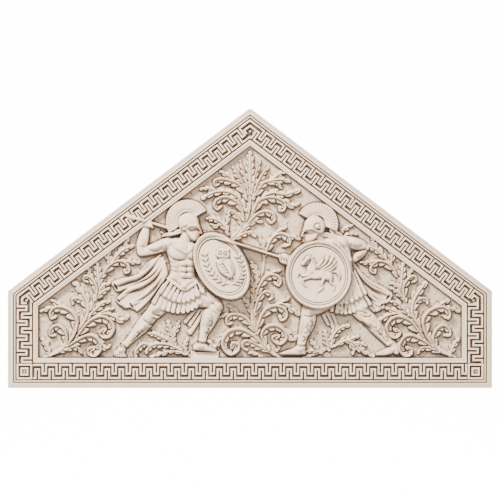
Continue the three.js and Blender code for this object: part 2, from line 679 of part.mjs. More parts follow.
// Pockets shut in between the carvings are solid stone, so only the outer skin is kept
function outerSkin(triangles, vertexCount) {
  const owner = Array.from({ length: vertexCount }, (_, i) => i);
  const rootOf = (i) => {
    let root = i;
    while (owner[root] !== root) root = owner[root];
    owner[i] = root;
    return root;
  };
  for (let i = 0; i < triangles.length; i += 3) {
    const root = rootOf(triangles[i]);
    owner[rootOf(triangles[i + 1])] = root;
    owner[rootOf(triangles[i + 2])] = root;
  }
  const sizes = new Map();
  triangles.forEach((i) => sizes.set(rootOf(i), (sizes.get(rootOf(i)) ?? 0) + 1));
  const [largest] = [...sizes.entries()].sort((a, b) => b[1] - a[1])[0];
  const kept = [];
  for (let i = 0; i < triangles.length; i += 3) {
    if (rootOf(triangles[i]) === largest) kept.push(triangles[i], triangles[i + 1], triangles[i + 2]);
  }
  return kept;
}

const geometry = new THREE.BufferGeometry();
const vertices = Float32Array.from(result.vertProperties);
geometry.setAttribute('position', new THREE.BufferAttribute(vertices, 3));
geometry.setIndex(outerSkin(Array.from(result.triVerts), vertices.length / 3));
const panelGeometry = geometry.toNonIndexed();
panelGeometry.computeVertexNormals();

const limestone = new THREE.MeshStandardMaterial({ color: 0xdcd0c4, roughness: 0.85, metalness: 0 });
const panel = new THREE.Mesh(panelGeometry, limestone);
panel.name = 'pediment_panel';

const group = new THREE.Group();
group.name = 'pediment';
group.add(panel);

export default group;
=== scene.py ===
"""Dresses the pediment panel: carved limestone, seen straight on in soft light."""
import math

import bpy
import numpy as np
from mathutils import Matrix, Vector


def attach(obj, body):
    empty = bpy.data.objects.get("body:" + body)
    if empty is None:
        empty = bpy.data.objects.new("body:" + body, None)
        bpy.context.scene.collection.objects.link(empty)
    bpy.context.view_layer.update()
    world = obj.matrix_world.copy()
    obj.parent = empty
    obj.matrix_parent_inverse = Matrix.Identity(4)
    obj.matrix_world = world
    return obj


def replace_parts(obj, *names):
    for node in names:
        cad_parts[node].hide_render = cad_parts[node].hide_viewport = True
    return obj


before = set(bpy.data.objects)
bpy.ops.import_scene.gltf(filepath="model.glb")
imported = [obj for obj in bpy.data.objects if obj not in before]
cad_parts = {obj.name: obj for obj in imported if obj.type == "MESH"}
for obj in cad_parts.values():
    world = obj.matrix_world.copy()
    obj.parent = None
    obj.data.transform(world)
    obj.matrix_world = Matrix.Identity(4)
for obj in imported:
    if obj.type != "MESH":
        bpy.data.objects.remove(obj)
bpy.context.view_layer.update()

# ---- The carved field: a height over the ground for each cell, in modules ----
MODULE = 0.005          # metres; the carving is laid out from the middle of the panel's lower edge
CELL = 0.42             # side of a cell, in modules
FIELD_LOW, FIELD_TOP, FIELD_SIDE = 29.0, 244.0, 213.6

COLUMNS = int(2 * FIELD_SIDE / CELL) + 1
ROWS = int((FIELD_TOP - FIELD_LOW) / CELL) + 1
across = -FIELD_SIDE + CELL * np.arange(COLUMNS)
upward = FIELD_LOW + CELL * np.arange(ROWS)
relief = np.zeros((ROWS, COLUMNS))


def P(*flat):
    """Points, from a flat row of u and v."""
    return list(zip(flat[::2], flat[1::2]))


def W(*flat):
    """Points with a half width, from a flat row of u, v and half width."""
    return list(zip(flat[::3], flat[1::3], flat[2::3]))


def window(points, reach):
    """The part of the field around some points, with its coordinates."""
    points = np.asarray([p[:2] for p in points], float)
    low, high = points.min(0) - reach, points.max(0) + reach
    i0, i1 = np.searchsorted(upward, [low[1], high[1]])
    j0, j1 = np.searchsorted(across, [low[0], high[0]])
    return (slice(i0, i1), slice(j0, j1)), *np.meshgrid(across[j0:j1], upward[i0:i1])


def oval(centre, size, tilt):
    """The part of the field around a tilted oval, and how far out its cells lie: 1 on the edge."""
    area, u, v = window([centre], max(size))
    du, dv = u - centre[0], v - centre[1]
    c, s = math.cos(math.radians(tilt)), math.sin(math.radians(tilt))
    return area, np.hypot((du * c + dv * s) / size[0], (dv * c - du * s) / size[1])


def spline(path, steps=6):
    """A smooth path through the given rows."""
    rows = [np.asarray(p, float) for p in path]
    out = []
    for i in range(len(rows) - 1):
        a, b, c, d = rows[max(i - 1, 0)], rows[i], rows[i + 1], rows[min(i + 2, len(rows) - 1)]
        for k in range(steps):
            t = k / steps
            out.append(0.5 * (2 * b + (c - a) * t + (2 * a - 5 * b + 4 * c - d) * t * t
                              + (3 * b - a - 3 * c + d) * t ** 3))
    return np.array(out + [rows[-1]])


def trace(path, u, v):
    """Distance to a path, side of it, share along it, and the path's further columns there."""
    lengths = np.hypot(*np.diff(path[:, :2], axis=0).T)
    start = np.concatenate([[0], np.cumsum(lengths)])
    best = np.full(u.shape, 1e9)
    side = np.zeros(u.shape)
    along = np.zeros(u.shape)
    for i, length in enumerate(lengths):
        a, b = path[i], path[i + 1]
        du, dv = b[0] - a[0], b[1] - a[1]
        t = np.clip(((u - a[0]) * du + (v - a[1]) * dv) / max(length * length, 1e-9), 0, 1)
        eu, ev = u - a[0] - t * du, v - a[1] - t * dv
        d = np.hypot(eu, ev)
        near = d < best
        best = np.where(near, d, best)
        side = np.where(near, np.sign(du * ev - dv * eu), side)
        along = np.where(near, start[i] + t * length, along)
    extra = [np.interp(along, start, path[:, k]) for k in range(2, path.shape[1])]
    return best, side, along / start[-1], extra


def along_row(row, share):
    """The point at a share of the way along evenly spaced points."""
    reach = min(share, 0.9999) * (len(row) - 1)
    i = int(reach)
    return row[i] + (row[i + 1] - row[i]) * (reach - i)


def inside_of(outline, u, v):
    """Which cells a closed outline holds."""
    hit = np.zeros(u.shape, bool)
    for (x0, y0), (x1, y1) in zip(outline, np.roll(outline, -1, axis=0)):
        if y0 != y1:
            hit ^= ((v < y0) != (v < y1)) & (u < x0 + (v - y0) * (x1 - x0) / (y1 - y0))
    return hit


# ---- Forms that are laid on the field ----
def lay(area, height, inside, blend=0.0):
    """Puts a form on top of what is there; blend rounds the join."""
    old = relief[area]
    top = np.maximum(old, height)
    if blend:
        gap = np.abs(old - height)
        rounded = 0.5 * (old + height + np.sqrt(gap ** 2 + blend ** 2)) - 0.3 * blend * np.exp(-gap / blend)
        top = np.maximum(rounded, old)
    relief[area] = np.where(inside, top, old)


def roll(path, bulge=1.0, lift=0.0, blend=0.0, flat=2.0, steps=6):
    """A rounded roll; the path's rows are u, v, half width and, where it climbs, its own lift."""
    line = spline(path, steps)
    area, u, v = window(line, line[:, 2].max())
    d, _, _, (half, *climb) = trace(line, u, v)
    q = np.clip(d / np.maximum(half, 0.05), 0, 1)
    lay(area, lift + (climb[0] if climb else 0) + bulge * half * (1 - q ** flat) ** (1 / flat), q < 1, blend)


def dome(centre, size, rise, tilt=0.0, lift=0.0, blend=0.0, flat=2.0):
    """A dome on an oval foot."""
    area, out = oval(centre, size, tilt)
    q = np.clip(out, 0, 1)
    lay(area, lift + rise * (1 - q ** flat) ** (1 / flat), q < 1, blend)


def shape(outline, rise, edge, lift=0.0, steps=5):
    """A closed shape whose top is rounded over its edge."""
    ring = spline([*outline, outline[0]], steps)[:-1] if steps > 1 else np.asarray(outline, float)
    area, u, v = window(ring, 1)
    d = trace(np.vstack([ring, ring[:1]]), u, v)[0]
    q = 1 - np.clip(d / edge, 0, 1)
    lay(area, lift + rise * np.sqrt(1 - q * q), inside_of(ring, u, v))


def line(path, width, depth, steps=6, fade=0.25):
    """A groove (depth over 0) or a raised line along a path, fading at both ends."""
    path = spline(path, steps)
    area, u, v = window(path, 3 * width)
    d, _, share, _ = trace(path, u, v)
    ends = np.clip(np.minimum(share, 1 - share) / fade, 0, 1) if fade else 1.0
    relief[area] -= depth * ends * np.exp(-(d / width) ** 2)


def folds(rows, depth, width):
    """Several grooves alike."""
    for path in rows:
        line(path, width, depth, fade=0.3)


def bump(centre, size, rise, tilt=0.0, power=1.5):
    """Raises (or sinks) what is carved already by a soft bump."""
    area, out = oval(centre, size, tilt)
    relief[area] += rise * (1 - np.clip(out, 0, 1) ** 2) ** power * (relief[area] > 1)


def mouth(centre, size, tilt):
    """The dark open end of a roll of cloth."""
    area, out = oval(centre, size, tilt)
    relief[area] = np.where(out < 1, np.minimum(relief[area], 0.6), relief[area])


def leaf(midrib, left, right, rise, lobes):
    """An acanthus leaf: rounded lobes swept forward from a smooth rib, on its wide sides."""
    widest = max(left, right)
    area, u, v = window(midrib, widest + 2)
    d, side, share, _ = trace(midrib, u, v)
    span = np.hypot(*np.diff(midrib, axis=0).T).sum()
    wide = np.where(side > 0, left, right)
    plain = wide < 0.55 * widest
    swell = 0.22 + 0.78 * np.sin(np.pi * np.clip(0.08 + 0.84 * share, 0, 1)) ** 0.7
    # the lobes, each a beat from cleft to cleft
    phase = (share - 0.9 * d / span) * lobes + 0.35 * side + 0.2
    lobe = np.floor(phase)
    beat = np.abs(2 * (phase - lobe) - 1)
    scallop = np.sqrt(np.clip(1 - beat ** 2, 0, 1))
    uneven = 1 + 0.14 * np.sin(2.4 * lobe + 1.7 * side + midrib[0, 0])
    reach = wide * swell * np.where(plain, 0.9, (0.30 + 0.78 * scallop) * uneven)
    q = np.clip(d / np.maximum(reach, 0.05), 0, 1)
    # the section: a curled rim that falls more softly on the upper side, and a ridge on the rib
    climb = np.clip((q - 0.3) / 0.45, 0, 1)
    curled = 0.62 + 0.38 * climb ** 2 * (3 - 2 * climb)
    above = np.clip(np.gradient(d, CELL, axis=0), 0, 1)
    fall = (1 - q ** 5) ** 0.5 * (1 - above * 0.75 * q ** 1.5)
    cleft = 1 - 0.6 * np.clip(2 * q - 0.5, 0, 1) * np.clip((beat - 0.5) / 0.5, 0, 1) ** 1.5
    smooth = 0.85 * (1 - q) ** 0.8
    ridge = 0.42 * np.exp(-(d / (0.16 * widest + 0.25)) ** 2)
    height = rise * (np.where(plain, smooth, curled * fall * cleft) + ridge * (1 - q)) * (0.62 + 0.38 * swell)
    lay(area, height, q < 1)
    dome(midrib[-1], (0.2 * widest, 0.2 * widest), 0.8 * rise)


# ---- Foliage: midrib, lobed width to the left and to the right of it, number of lobes, rise ----
CORNER = [
    (P(-200, 33, -204, 43, -208, 49), 3.5, 3.5, 4, 3),
    (P(-188, 38, -183, 48, -186, 58, -193, 63, -199.5, 59, -200.5, 53, -197, 52), 6, 2.2, 6, 4.2),
    (P(-184, 42, -176, 53, -173, 66, -178, 76, -187, 81, -195, 81, -200, 76, -199, 69.5, -195, 70.5), 7, 2.6, 9, 4.8),
    (P(-181, 77, -190, 83, -198, 88), 4, 3, 4, 3.6),
    (P(-184, 80, -192, 79, -200, 80, -209, 77), 3, 3, 5, 3.8),
    (P(-172, 58, -164, 70, -162, 80, -165, 90, -170, 98, -175, 105), 5.5, 5, 7, 4),
    (P(-162, 76, -166, 86, -172, 90, -177.5, 89, -178, 85), 4.5, 2, 5, 3.6),
    (P(-155, 88, -153, 98, -155, 105, -160, 111, -165, 112, -166.5, 108, -164, 106), 5, 2.2, 5, 4.2),
    (P(-151, 100, -152, 113, -153, 125), 4, 4, 5, 3),
    (P(-157, 105, -160, 114, -162, 120), 3, 3, 3, 2.8),
    (P(-147, 113, -143, 120, -136, 126, -128, 127, -121.5, 122, -121, 116.5, -125, 115, -126, 118), 2.2, 5.4, 6, 4.6),
    (P(-138, 126, -130, 136, -124, 140, -118, 142), 4.4, 4, 5, 3.8),
    (P(-128, 128, -120, 126, -111, 126), 3, 3, 4, 3.6),
    (P(-174, 51, -165, 63, -158, 69, -148, 72, -140, 68, -136.5, 60, -140, 52, -147, 50.5, -150.5, 55.5, -146.5, 59),
        2.8, 7.4, 10, 5),
    (P(-158, 69, -147, 74.5, -137, 72.5, -129, 68, -123, 72), 3.6, 4.6, 6, 4),
    (P(-184, 41, -175, 47, -164, 52.5, -156, 52, -150.5, 46, -149.5, 38, -155, 32, -161, 33.5, -162, 38.5, -158, 41),
        2.8, 7, 10, 5),
    (P(-156, 52, -150, 47, -145, 40, -140, 43), 3.6, 3, 4, 3.6),
    (P(-188, 37, -180, 40.5, -173, 41, -168, 36), 2, 4.2, 4, 3.4),
    (P(-162, 72, -153, 80, -148, 85, -141.5, 87), 3.4, 3.8, 5, 3.8),
    (P(-166, 64, -156, 71, -147, 76.5, -137, 80), 3.4, 3.8, 6, 3.4),
    (P(-155, 88, -149, 95.5, -141.5, 100), 3, 3.6, 4, 3.8),
    (P(-151, 97, -147, 102.5, -141, 105), 2.8, 3, 3, 3.2),
    (P(-141, 124, -142, 136, -138, 145), 3.2, 3.4, 5, 3.2),
    (P(-134, 133, -126, 141, -122, 150), 3, 3, 4, 3),
]
CORNER_STEMS = [
    (W(-206, 30.5, 1.6, -190, 38, 3.4, -178, 48, 3.6, -168, 62, 3.2, -160, 76, 3, -153, 91, 2.6, -150, 103, 2.2,
        -146, 116, 1.8, -140, 126, 1.4), 1.1),
    (W(-192, 35, 2, -180, 43, 2.2, -170, 54, 2, -162, 66, 1.2), 1),
]
CROWN = [
    (P(0, 196, 0, 216, 0, 236), 4.6, 4.6, 8, 3.2),
    (P(-1.6, 194, -4.6, 212, -9.4, 227.4), 3.4, 1.5, 6, 3.4),
    (P(1.6, 194, 4.8, 212, 9.6, 227.4), 1.5, 3.4, 6, 3.4),
    (P(-3, 190, -7.6, 206, -16.2, 221), 4.4, 1.8, 7, 4.2),
    (P(3, 190, 7.8, 206, 16.6, 220.4), 1.8, 4.4, 7, 4.2),
    (P(-3, 190, -10, 203, -19, 207.5, -29, 209.5, -35.5, 207.5, -35, 202.5, -32, 203), 5.6, 2.2, 7, 4.6),
    (P(-14, 205, -21, 212, -29, 217), 4, 3.2, 4, 3.6),
    (P(-4, 178, -12, 191, -22, 196.5, -35, 196.5, -47, 190), 4.6, 4.2, 7, 4.6),
    (P(-33, 196.5, -41, 200, -49, 199), 2.6, 2.8, 4, 3.6),
    (P(-6, 170, -9, 182, -15, 188, -24, 191.5, -32.5, 189, -36, 183, -33, 178.5, -29, 181), 6.4, 2.4, 8, 5),
    (P(-8, 164, -13, 173.5, -19, 177.5, -22, 174), 4.2, 2, 4, 3.8),
    (P(3, 190, 12, 204, 20, 207.5, 30, 209, 39, 207.5), 3.6, 5, 6, 4.4),
    (P(18, 206.5, 27, 206, 31.5, 201), 2, 3.8, 4, 4),
    (P(20, 207, 29, 214, 35, 216), 3.6, 3, 4, 3.4),
    (P(4, 178, 12, 190, 22, 195.5, 35, 194, 48, 198), 4.2, 4.6, 7, 4.4),
    (P(2, 174, 8, 187, 18, 191, 28, 190, 35, 185, 34.5, 178.5, 29.5, 177, 29, 180.5), 2.4, 6.4, 8, 5),
    (P(27, 190.5, 36, 187, 42, 182.5, 49, 185), 3, 3.2, 4, 3.8),
    (P(-3, 164, 6, 173.5, 14, 177, 22, 175, 25, 169, 21, 165, 17.5, 167.5), 2.4, 5.2, 6, 4.6),
    (P(-10, 155, -3, 162, 4, 167, 12, 166.5), 3, 3.2, 4, 3.6),
    (P(-17, 148, -7, 154.5, 0, 156, 5, 152.5), 3, 3.4, 5, 3.8),
    (P(-22, 154, -26, 163, -34, 169, -43, 170), 4.2, 3.6, 6, 4),
    (P(-24, 162, -22, 170, -21, 176), 2.2, 2.4, 3, 3),
    (P(-28, 164, -34, 162, -39, 164), 2.4, 2.4, 3, 3.4),
]
CROWN_STEMS = [
    (W(-25, 143, 2, -18, 149, 2.8, -10, 158, 3, -4, 170, 3, -1, 183, 2.8, 0, 196, 2.2), 1.1),
    (W(-21, 145, 1.4, -7, 159, 1.8, 2, 174, 1.8, 4, 188, 1.4), 1),
]
MIDDLE = [
    (P(6, 102, 7.5, 110, 6, 118, 1, 127), 3.6, 3.2, 5, 3.8),
    (P(3, 83, 4, 97, 1, 110), 3, 3, 5, 3.4),
    (P(3, 70, 0, 82, -8, 92), 3.6, 3.2, 5, 3.8),
    (P(4, 59, -3, 69.5, -10, 73.5, -18.5, 74, -23.5, 69.5, -23, 64, -19.5, 64), 6, 2.2, 8, 4.8),
    (P(-10, 74, -16, 78, -21, 83), 3, 2.8, 3, 3.4),
    (P(-19, 74, -26, 73, -32, 70), 2.4, 2.4, 3, 3.4),
    (P(15, 42, 2, 54, -10, 59, -21, 57, -27.5, 47, -25.5, 38, -19, 33.5, -12, 37.5, -11.5, 43.5, -17, 45.5, -19, 42),
        7, 3, 12, 5.4),
    (P(-21, 56, -30, 48, -35.5, 41, -41, 47), 3.4, 3.6, 5, 3.8),
    (P(17, 38, 1, 46.5, -5.5, 47, -8, 41.5, -4.5, 38), 5.2, 2.4, 7, 4.4),
    (P(12, 32, 4, 35, -1, 35), 2.4, 2.2, 3, 3),
    (P(5, 90, 10, 104, 18, 113, 26, 113, 31, 108, 29, 102.5, 25, 104), 2.4, 5.8, 7, 4.8),
    (P(12, 107, 20, 114.5, 30, 118), 3, 2.6, 4, 3.4),
    (P(4, 74, 8, 89, 14, 96, 20, 96, 23, 91.5, 20.5, 88.5), 2.2, 4.6, 5, 4.4),
    (P(6, 57, 12, 74, 20, 81.5, 30, 82, 36.5, 76.5, 36, 70, 31, 67.5, 29, 71), 2.4, 6.4, 8, 5),
    (P(22, 81.5, 32, 84.5, 41, 79, 49, 74), 3.4, 3.8, 5, 3.8),
    (P(24, 82, 33, 86.5, 39, 90), 2.8, 2.4, 3, 3.4),
    (P(17, 40, 11.5, 52, 15.5, 60.5, 25, 63, 34, 58, 36.5, 50, 30.5, 44, 23.5, 47, 23, 51.5, 27, 53),
        2.6, 6.6, 10, 5.2),
    (P(29, 62, 37.5, 55, 42, 48, 47, 52), 3.2, 3.2, 4, 3.6),
    (P(26, 44, 29, 41, 27, 37), 2, 2, 2, 3),
    (P(14, 131, 13.5, 142, 9, 153), 2.6, 2.6, 4, 3),
    (P(15, 134, 20, 147, 26, 153.5, 33.5, 154.5, 40, 149.5, 39.5, 143.5, 35, 141.5), 2.2, 5.4, 7, 4.6),
    (P(19, 146, 27, 155.5, 36, 161), 3, 2.8, 4, 3.4),
    (P(27, 153.5, 38, 152.5, 50, 149), 2.6, 3, 4, 3.8),
]
MIDDLE_STEMS = [
    (W(30, 30, 1.6, 15, 41, 3.4, 6, 53, 3.4, 3, 68, 3.2, 3, 88, 2.8, 6, 103, 2.4, 12, 116, 2.2, 14.5, 133, 2,
        15, 145, 1.4), 1.1),
    (W(24, 33, 2, 12, 47, 2.2, 7, 63, 2, 7, 82, 1.6, 10, 100, 1.2), 1),
]
UNDER_LEFT = [
    (P(-76, 43, -78, 53, -82, 66), 4.2, 4.2, 6, 3.8),
    (P(-79, 47, -87, 50.5, -94, 54, -101, 55), 4, 3.6, 6, 3.8),
    (P(-69, 38, -81, 43.5, -92, 44.5, -100, 42, -104, 36), 4.6, 3, 7, 4.4),
    (P(-64, 34, -77, 37, -89, 34.5, -98, 31), 2.6, 4, 6, 3.6),
    (P(-63, 35, -65.5, 42, -62.5, 49), 2.8, 2.8, 4, 3.4),
    (P(-98, 42, -107, 44.5, -114, 38, -115, 32), 4.6, 2, 5, 3.6),
    (P(-82, 51, -74, 59, -71, 67), 3, 3, 5, 3.2),
]
UNDER_LEFT_STEMS = [(W(-58, 30.5, 2, -72, 40, 2.4, -80, 47, 2, -85, 56, 1.2), 1.1)]
UNDER_RIGHT = [
    (P(79, 38, 77, 48, 75, 57), 3.6, 3.6, 5, 3.8),
    (P(82, 42, 83, 52, 89, 59.5, 98, 63), 4, 4, 6, 3.8),
    (P(85, 42, 95, 47.5, 103, 45.5, 111, 38, 123, 32), 4, 3, 8, 4.4),
    (P(92, 45.5, 101, 49, 108, 52), 3.2, 3.2, 4, 3.6),
    (P(98, 46, 104, 41, 103.5, 34.5), 2, 3.6, 4, 4),
    (P(70, 36.5, 65, 43, 61, 48), 3, 3, 4, 3.4),
    (P(102, 45, 109, 45, 116, 42.5), 2.8, 2.6, 4, 3.2),
    (P(72, 35, 63, 37.5, 55, 36.5), 2.6, 2.6, 4, 3),
]
UNDER_RIGHT_STEMS = [(W(53, 30.5, 2, 70, 36, 2.4, 82, 43, 2, 94, 49, 1.2), 1.1)]
SPRIGS = [
    (P(-74, 150, -82, 152, -89, 156), 2.6, 2.6, 4, 2.6),
    (P(-72, 153, -78, 157, -82, 161), 2.2, 2.2, 3, 2.4),
    (P(88, 152, 94, 159, 102, 163), 2.8, 2.8, 4, 2.6),
    (P(91, 150, 99, 154, 107, 154), 2.6, 2.6, 4, 2.6),
    (P(134, 145, 129, 152, 121, 156), 2.6, 2.6, 4, 2.6),
]


STEM_WIDTH, LEAF_RISE, LOBE_SHARE = 0.8, 1.15, 0.8      # scale the rows above


def mirrored(rows):
    """The leaves mirrored to the other side of the panel."""
    return [([(-p[0], *p[1:]) for p in path], right, left, *rest) for path, left, right, *rest in rows]


def grow(stems, leaves):
    """Carves a plant: its stems, each with a groove, and then its leaves."""
    for path, bulge in stems:
        roll([(u, v, STEM_WIDTH * half) for u, v, half in path], bulge, blend=0.6)
        line([p[:2] for p in path], 0.5, 0.9)
    for midrib, left, right, lobes, rise in leaves:
        leaf(spline(midrib, 8), left, right, LEAF_RISE * rise, max(2, round(LOBE_SHARE * lobes)))


grow(CORNER_STEMS, CORNER)
grow([([(-p[0], *p[1:]) for p in path], bulge) for path, bulge in CORNER_STEMS], mirrored(CORNER))
grow(CROWN_STEMS, CROWN)
grow(MIDDLE_STEMS, MIDDLE)
grow(UNDER_LEFT_STEMS, UNDER_LEFT)
grow(UNDER_RIGHT_STEMS, UNDER_RIGHT)
grow([], SPRIGS)


# ---- Parts that both warriors wear or carry ----
def crest(centre, inner, outer, start, end, ribs):
    """A horsehair crest: a fan of locks between two plain rims."""
    area, u, v = window([centre], outer + 1)
    du, dv = u - centre[0], v - centre[1]
    r = np.hypot(du, dv)
    off = (np.degrees(np.arctan2(dv, du)) - (start + end) / 2 + 180) % 360 - 180
    share = off / (end - start) + 0.5
    q = (r - inner) / (outer - inner)
    body = np.clip(4 * q * (1 - q), 0, 1) ** 0.4
    locks = 0.5 * (1 - np.cos(2 * np.pi * ribs * share)) ** 0.6
    hair = np.clip((q - 0.26) / 0.06, 0, 1) * np.clip((0.94 - q) / 0.06, 0, 1)
    height = 5.4 + 3.0 * body + 1.5 * (locks - 0.7) * hair - 0.8 * np.exp(-((q - 0.24) / 0.05) ** 2)
    lay(area, height, (np.abs(share - 0.5) < 0.5) & (r > inner) & (r < outer))


def straps(top, hem, count, lift):
    """Leather straps with rounded ends, hanging side by side."""
    top, hem = spline(top), spline(hem)

    def half_width(row, i):
        return 0.47 * np.hypot(*(along_row(row, (i + 1) / count) - along_row(row, i / count)))

    for i in range(count):
        a, b = along_row(top, (i + 0.5) / count), along_row(hem, (i + 0.5) / count)
        slim, wide = half_width(top, i), half_width(hem, i)
        roll([(*a, slim * 0.96), (*((a + b) / 2), (slim + wide) / 2), (*b, wide)], 0.8, lift, flat=2.8)
        foot = b + (b - a) / np.hypot(*(b - a)) * wide * 0.55
        line([a + (b - a) * 0.15, foot], 0.45, 0.3)


def shield(centre, size, tilt, lift, rings):
    """A domed shield; its rings are shares of its radius, with their heights."""
    area, q = oval(centre, size, tilt)
    shares, heights = zip(*rings)
    lay(area, np.interp(q, [0, 0.6, *shares, 1.0], [lift - 0.4, lift - 0.8, *heights, 0]), q < 0.995)


# ---- The warrior on the left ----
# cloak
shape(P(-86, 132, -98, 129.5, -109, 118, -117, 110.4, -128, 108.6, -137.6, 106, -137, 101, -132.4, 96, -123, 98.4,
    -128, 92, -134.4, 88.2, -131, 83.4, -125, 79.4, -119, 80, -114, 77.4, -104, 86, -92, 99, -82, 113),
    3.2, 2.4, 0.2, steps=4)
for fold in (W(-90, 133, 1.4, -100, 121, 2.4, -112, 110.6, 3.2, -125, 107, 3.4, -135.4, 104, 3), W(-87.4, 126, 0.9,
    -98, 114.4, 1.2, -109, 107.6, 1.4, -121, 103.6, 1.4, -130.4, 98, 1.2), W(-85, 126, 1.2, -95, 112, 2,
    -107, 102.4, 2.8, -120, 97.6, 3, -131.4, 89, 2.2), W(-85.4, 118, 0.8, -97, 104, 1.2, -109, 95.6, 1.4,
    -120, 91, 1.4, -128, 84.4, 1.2), W(-85.4, 117, 1.2, -95, 102, 2.2, -106, 91.4, 3, -116.6, 85, 2.8),
    W(-87.4, 109, 1, -97.4, 95, 1.6, -106, 85, 2, -113, 78.4, 1.8)):
    roll(fold, 1, 2.2)
folds([P(-93, 125, -102, 115, -112, 108.4, -123, 105, -132, 101), P(-87, 119.4, -96.4, 107.6, -108, 100, -120.4, 95.6,
    -129, 91.6), P(-88, 110, -98, 97, -108, 89, -118, 84.4)], 2.3, 1.5)
folds([P(-97, 129, -106, 118, -116, 111.4), P(-89, 123.4, -97.4, 113, -108, 106.4, -122, 101.4), P(-89, 115,
    -99.4, 102.4, -110, 96.6, -123, 90.4), P(-90, 105, -99.4, 92, -109.4, 83.4), P(-92.4, 117.4, -103, 109,
    -114, 105)], 1.3, 0.7)
for hem in (P(-137.4, 105.4, -136.6, 101.6, -132.6, 96.4), P(-133.6, 88.6, -131.4, 85, -126.4, 82.6), P(-119.6, 85,
    -117, 82, -114.4, 78)):
    line(hem, 0.9, -1.3, fade=0.1)
mouth((-134.1, 101), (1.1, 3.6), 28)
mouth((-131.6, 87.4), (0.8, 2.2), 50)
mouth((-118.4, 82.4), (0.9, 3), 36)
# fall of the cloak between the legs
for fold in (W(-52, 82, 2.4, -58, 74, 2.6, -64.4, 66.4, 2.2), W(-49, 82, 2.2, -55, 71, 2.8, -60.4, 62, 2.2),
    W(-45, 80, 2.2, -52, 68, 2.6, -60, 55.4, 2.6)):
    roll(fold, 0.9, 1)
folds([P(-51, 80, -58, 70, -63, 64), P(-47, 80, -55, 67, -61, 58)], 1.3, 0.7)
line(P(-65.4, 67.4, -62, 63.4, -57.4, 61), 0.7, -0.8, fade=0.1)
line(P(-66, 59, -62.4, 56.4, -59.4, 54), 0.7, -0.8, fade=0.1)
mouth((-62.4, 62), (0.8, 2.2), 56)

# rear leg, in a greave
roll(W(-83, 90, 9, -92, 80, 8.4, -100.4, 71, 6.2), 0.6, 2)
roll(W(-100.4, 71, 6.8, -107, 62.6, 7, -114, 55, 5.2, -121, 47, 3.6, -125.6, 42.6, 3.4), 0.85, 1.4)
bump((-101, 70.4), (5.4, 5), 3, 40)
bump((-106, 61.4), (10, 3.6), 2.2, 42)
bump((-92, 81), (7, 5), 1.6, 40)
folds([P(-109, 70.4, -104, 66.4, -98.4, 63.4, -94, 66.4), P(-98.4, 76.6, -95, 73.4, -88.4, 72), P(-103, 75.4,
    -98, 70.4, -93, 69)], 2, 0.85)
folds([P(-111, 68, -116, 59, -123, 48), P(-104, 63, -110, 54.4, -119, 45.4)], 1.4, 0.75)
folds([P(-107, 67, -113, 57, -121, 46.6)], -0.6, 0.8)
bump((-94.4, 80), (4.6, 3.4), 1.5, 40)
line(P(-131, 46.4, -126.4, 44.6, -121.6, 41), 0.9, -1.5, fade=0.1)
folds([P(-130, 43.6, -127, 42.6, -123, 39)], 0.9, 0.5)
shape(P(-131, 41.4, -124.6, 39.6, -125, 35, -123.4, 31.6, -128, 30.2, -135.6, 31.6, -136.2, 35.6, -133, 39),
    6, 3, 0.4, steps=3)
bump((-129.4, 38), (3.6, 3), 1.9)
for k in range(5):
    line([(-135.4 + 2.6 * k, 30.6 - 0.3 * k), (-134 + 2 * k, 33.8)], 0.4, 1.3, fade=0)
    bump((-134.6 + 2.5 * k, 31.6), (1.3, 1.2), 0.8)

# front leg, in a greave
roll(W(-54, 90, 8.6, -44, 87.4, 8.4, -34.4, 82.6, 6.4), 0.62, 2.6)
roll(W(-34, 81, 6.8, -39, 73, 8.2, -43, 63.4, 6.8, -46.4, 54, 4.2, -47.6, 47, 3.8), 0.9, 2.4)
bump((-31.4, 82), (5, 5), 3.5, 30)
bump((-42.4, 70), (5, 9), 2.4, -18)
bump((-42, 88), (6, 4), 1.1, -24)
folds([P(-53, 79.4, -45, 80, -37, 78.6)], 2.2, 1)
folds([P(-45, 76.4, -38, 77, -30.4, 72), P(-40, 86, -35.4, 83.4, -33.6, 78.4)], 1.9, 0.75)
folds([P(-36, 73.4, -37.4, 66, -42.6, 56, -45, 48), P(-45.6, 74, -47.2, 66, -48, 56)], 1.3, 0.7)
line(P(-42, 75.4, -36, 75.4, -31.4, 70.6), 0.6, -0.8, fade=0.1)
bump((-42.6, 71), (1.1, 1.1), 2)
line(P(-53.6, 49.4, -49, 47.4, -43.6, 47.6), 0.9, -1.5, fade=0.1)
folds([P(-53.4, 46, -49, 44.6, -44.6, 45.6)], 0.9, 0.5)
shape(P(-54.4, 44.6, -45.4, 45, -39.4, 40.4, -33.4, 38, -34.4, 36.2, -50, 37, -56.6, 38, -57, 42),
    6.6, 3.4, 0.8, steps=3)
bump((-49, 42.4), (4.4, 2.6), 2.2, -20)
# the block under the front foot
shape(P(-59.4, 29, -59.4, 36.6, -31, 36.6, -31, 29), 2.6, 1, 0.6, steps=1)
folds([P(-59, 34.6, -31.4, 34.6)], 0.5, 0.5)

# skirt: two rows of leather straps
straps(P(-87, 104, -79, 97, -66, 91, -54, 97, -46, 100), P(-97.4, 87.4, -91, 82.4, -84, 79.2, -77, 77.2, -69.4, 76.6,
    -62, 77.6, -56, 80.4, -50, 86, -43.4, 91.4), 12, 7)
straps(P(-82, 108.6, -74, 102.4, -65.6, 97.4, -58, 102, -51, 105.4), P(-91, 97.6, -85, 93.4, -79, 90, -72, 87.8,
    -65, 87.2, -58.6, 89.8, -52, 94, -45.4, 98.4), 10, 9.6)

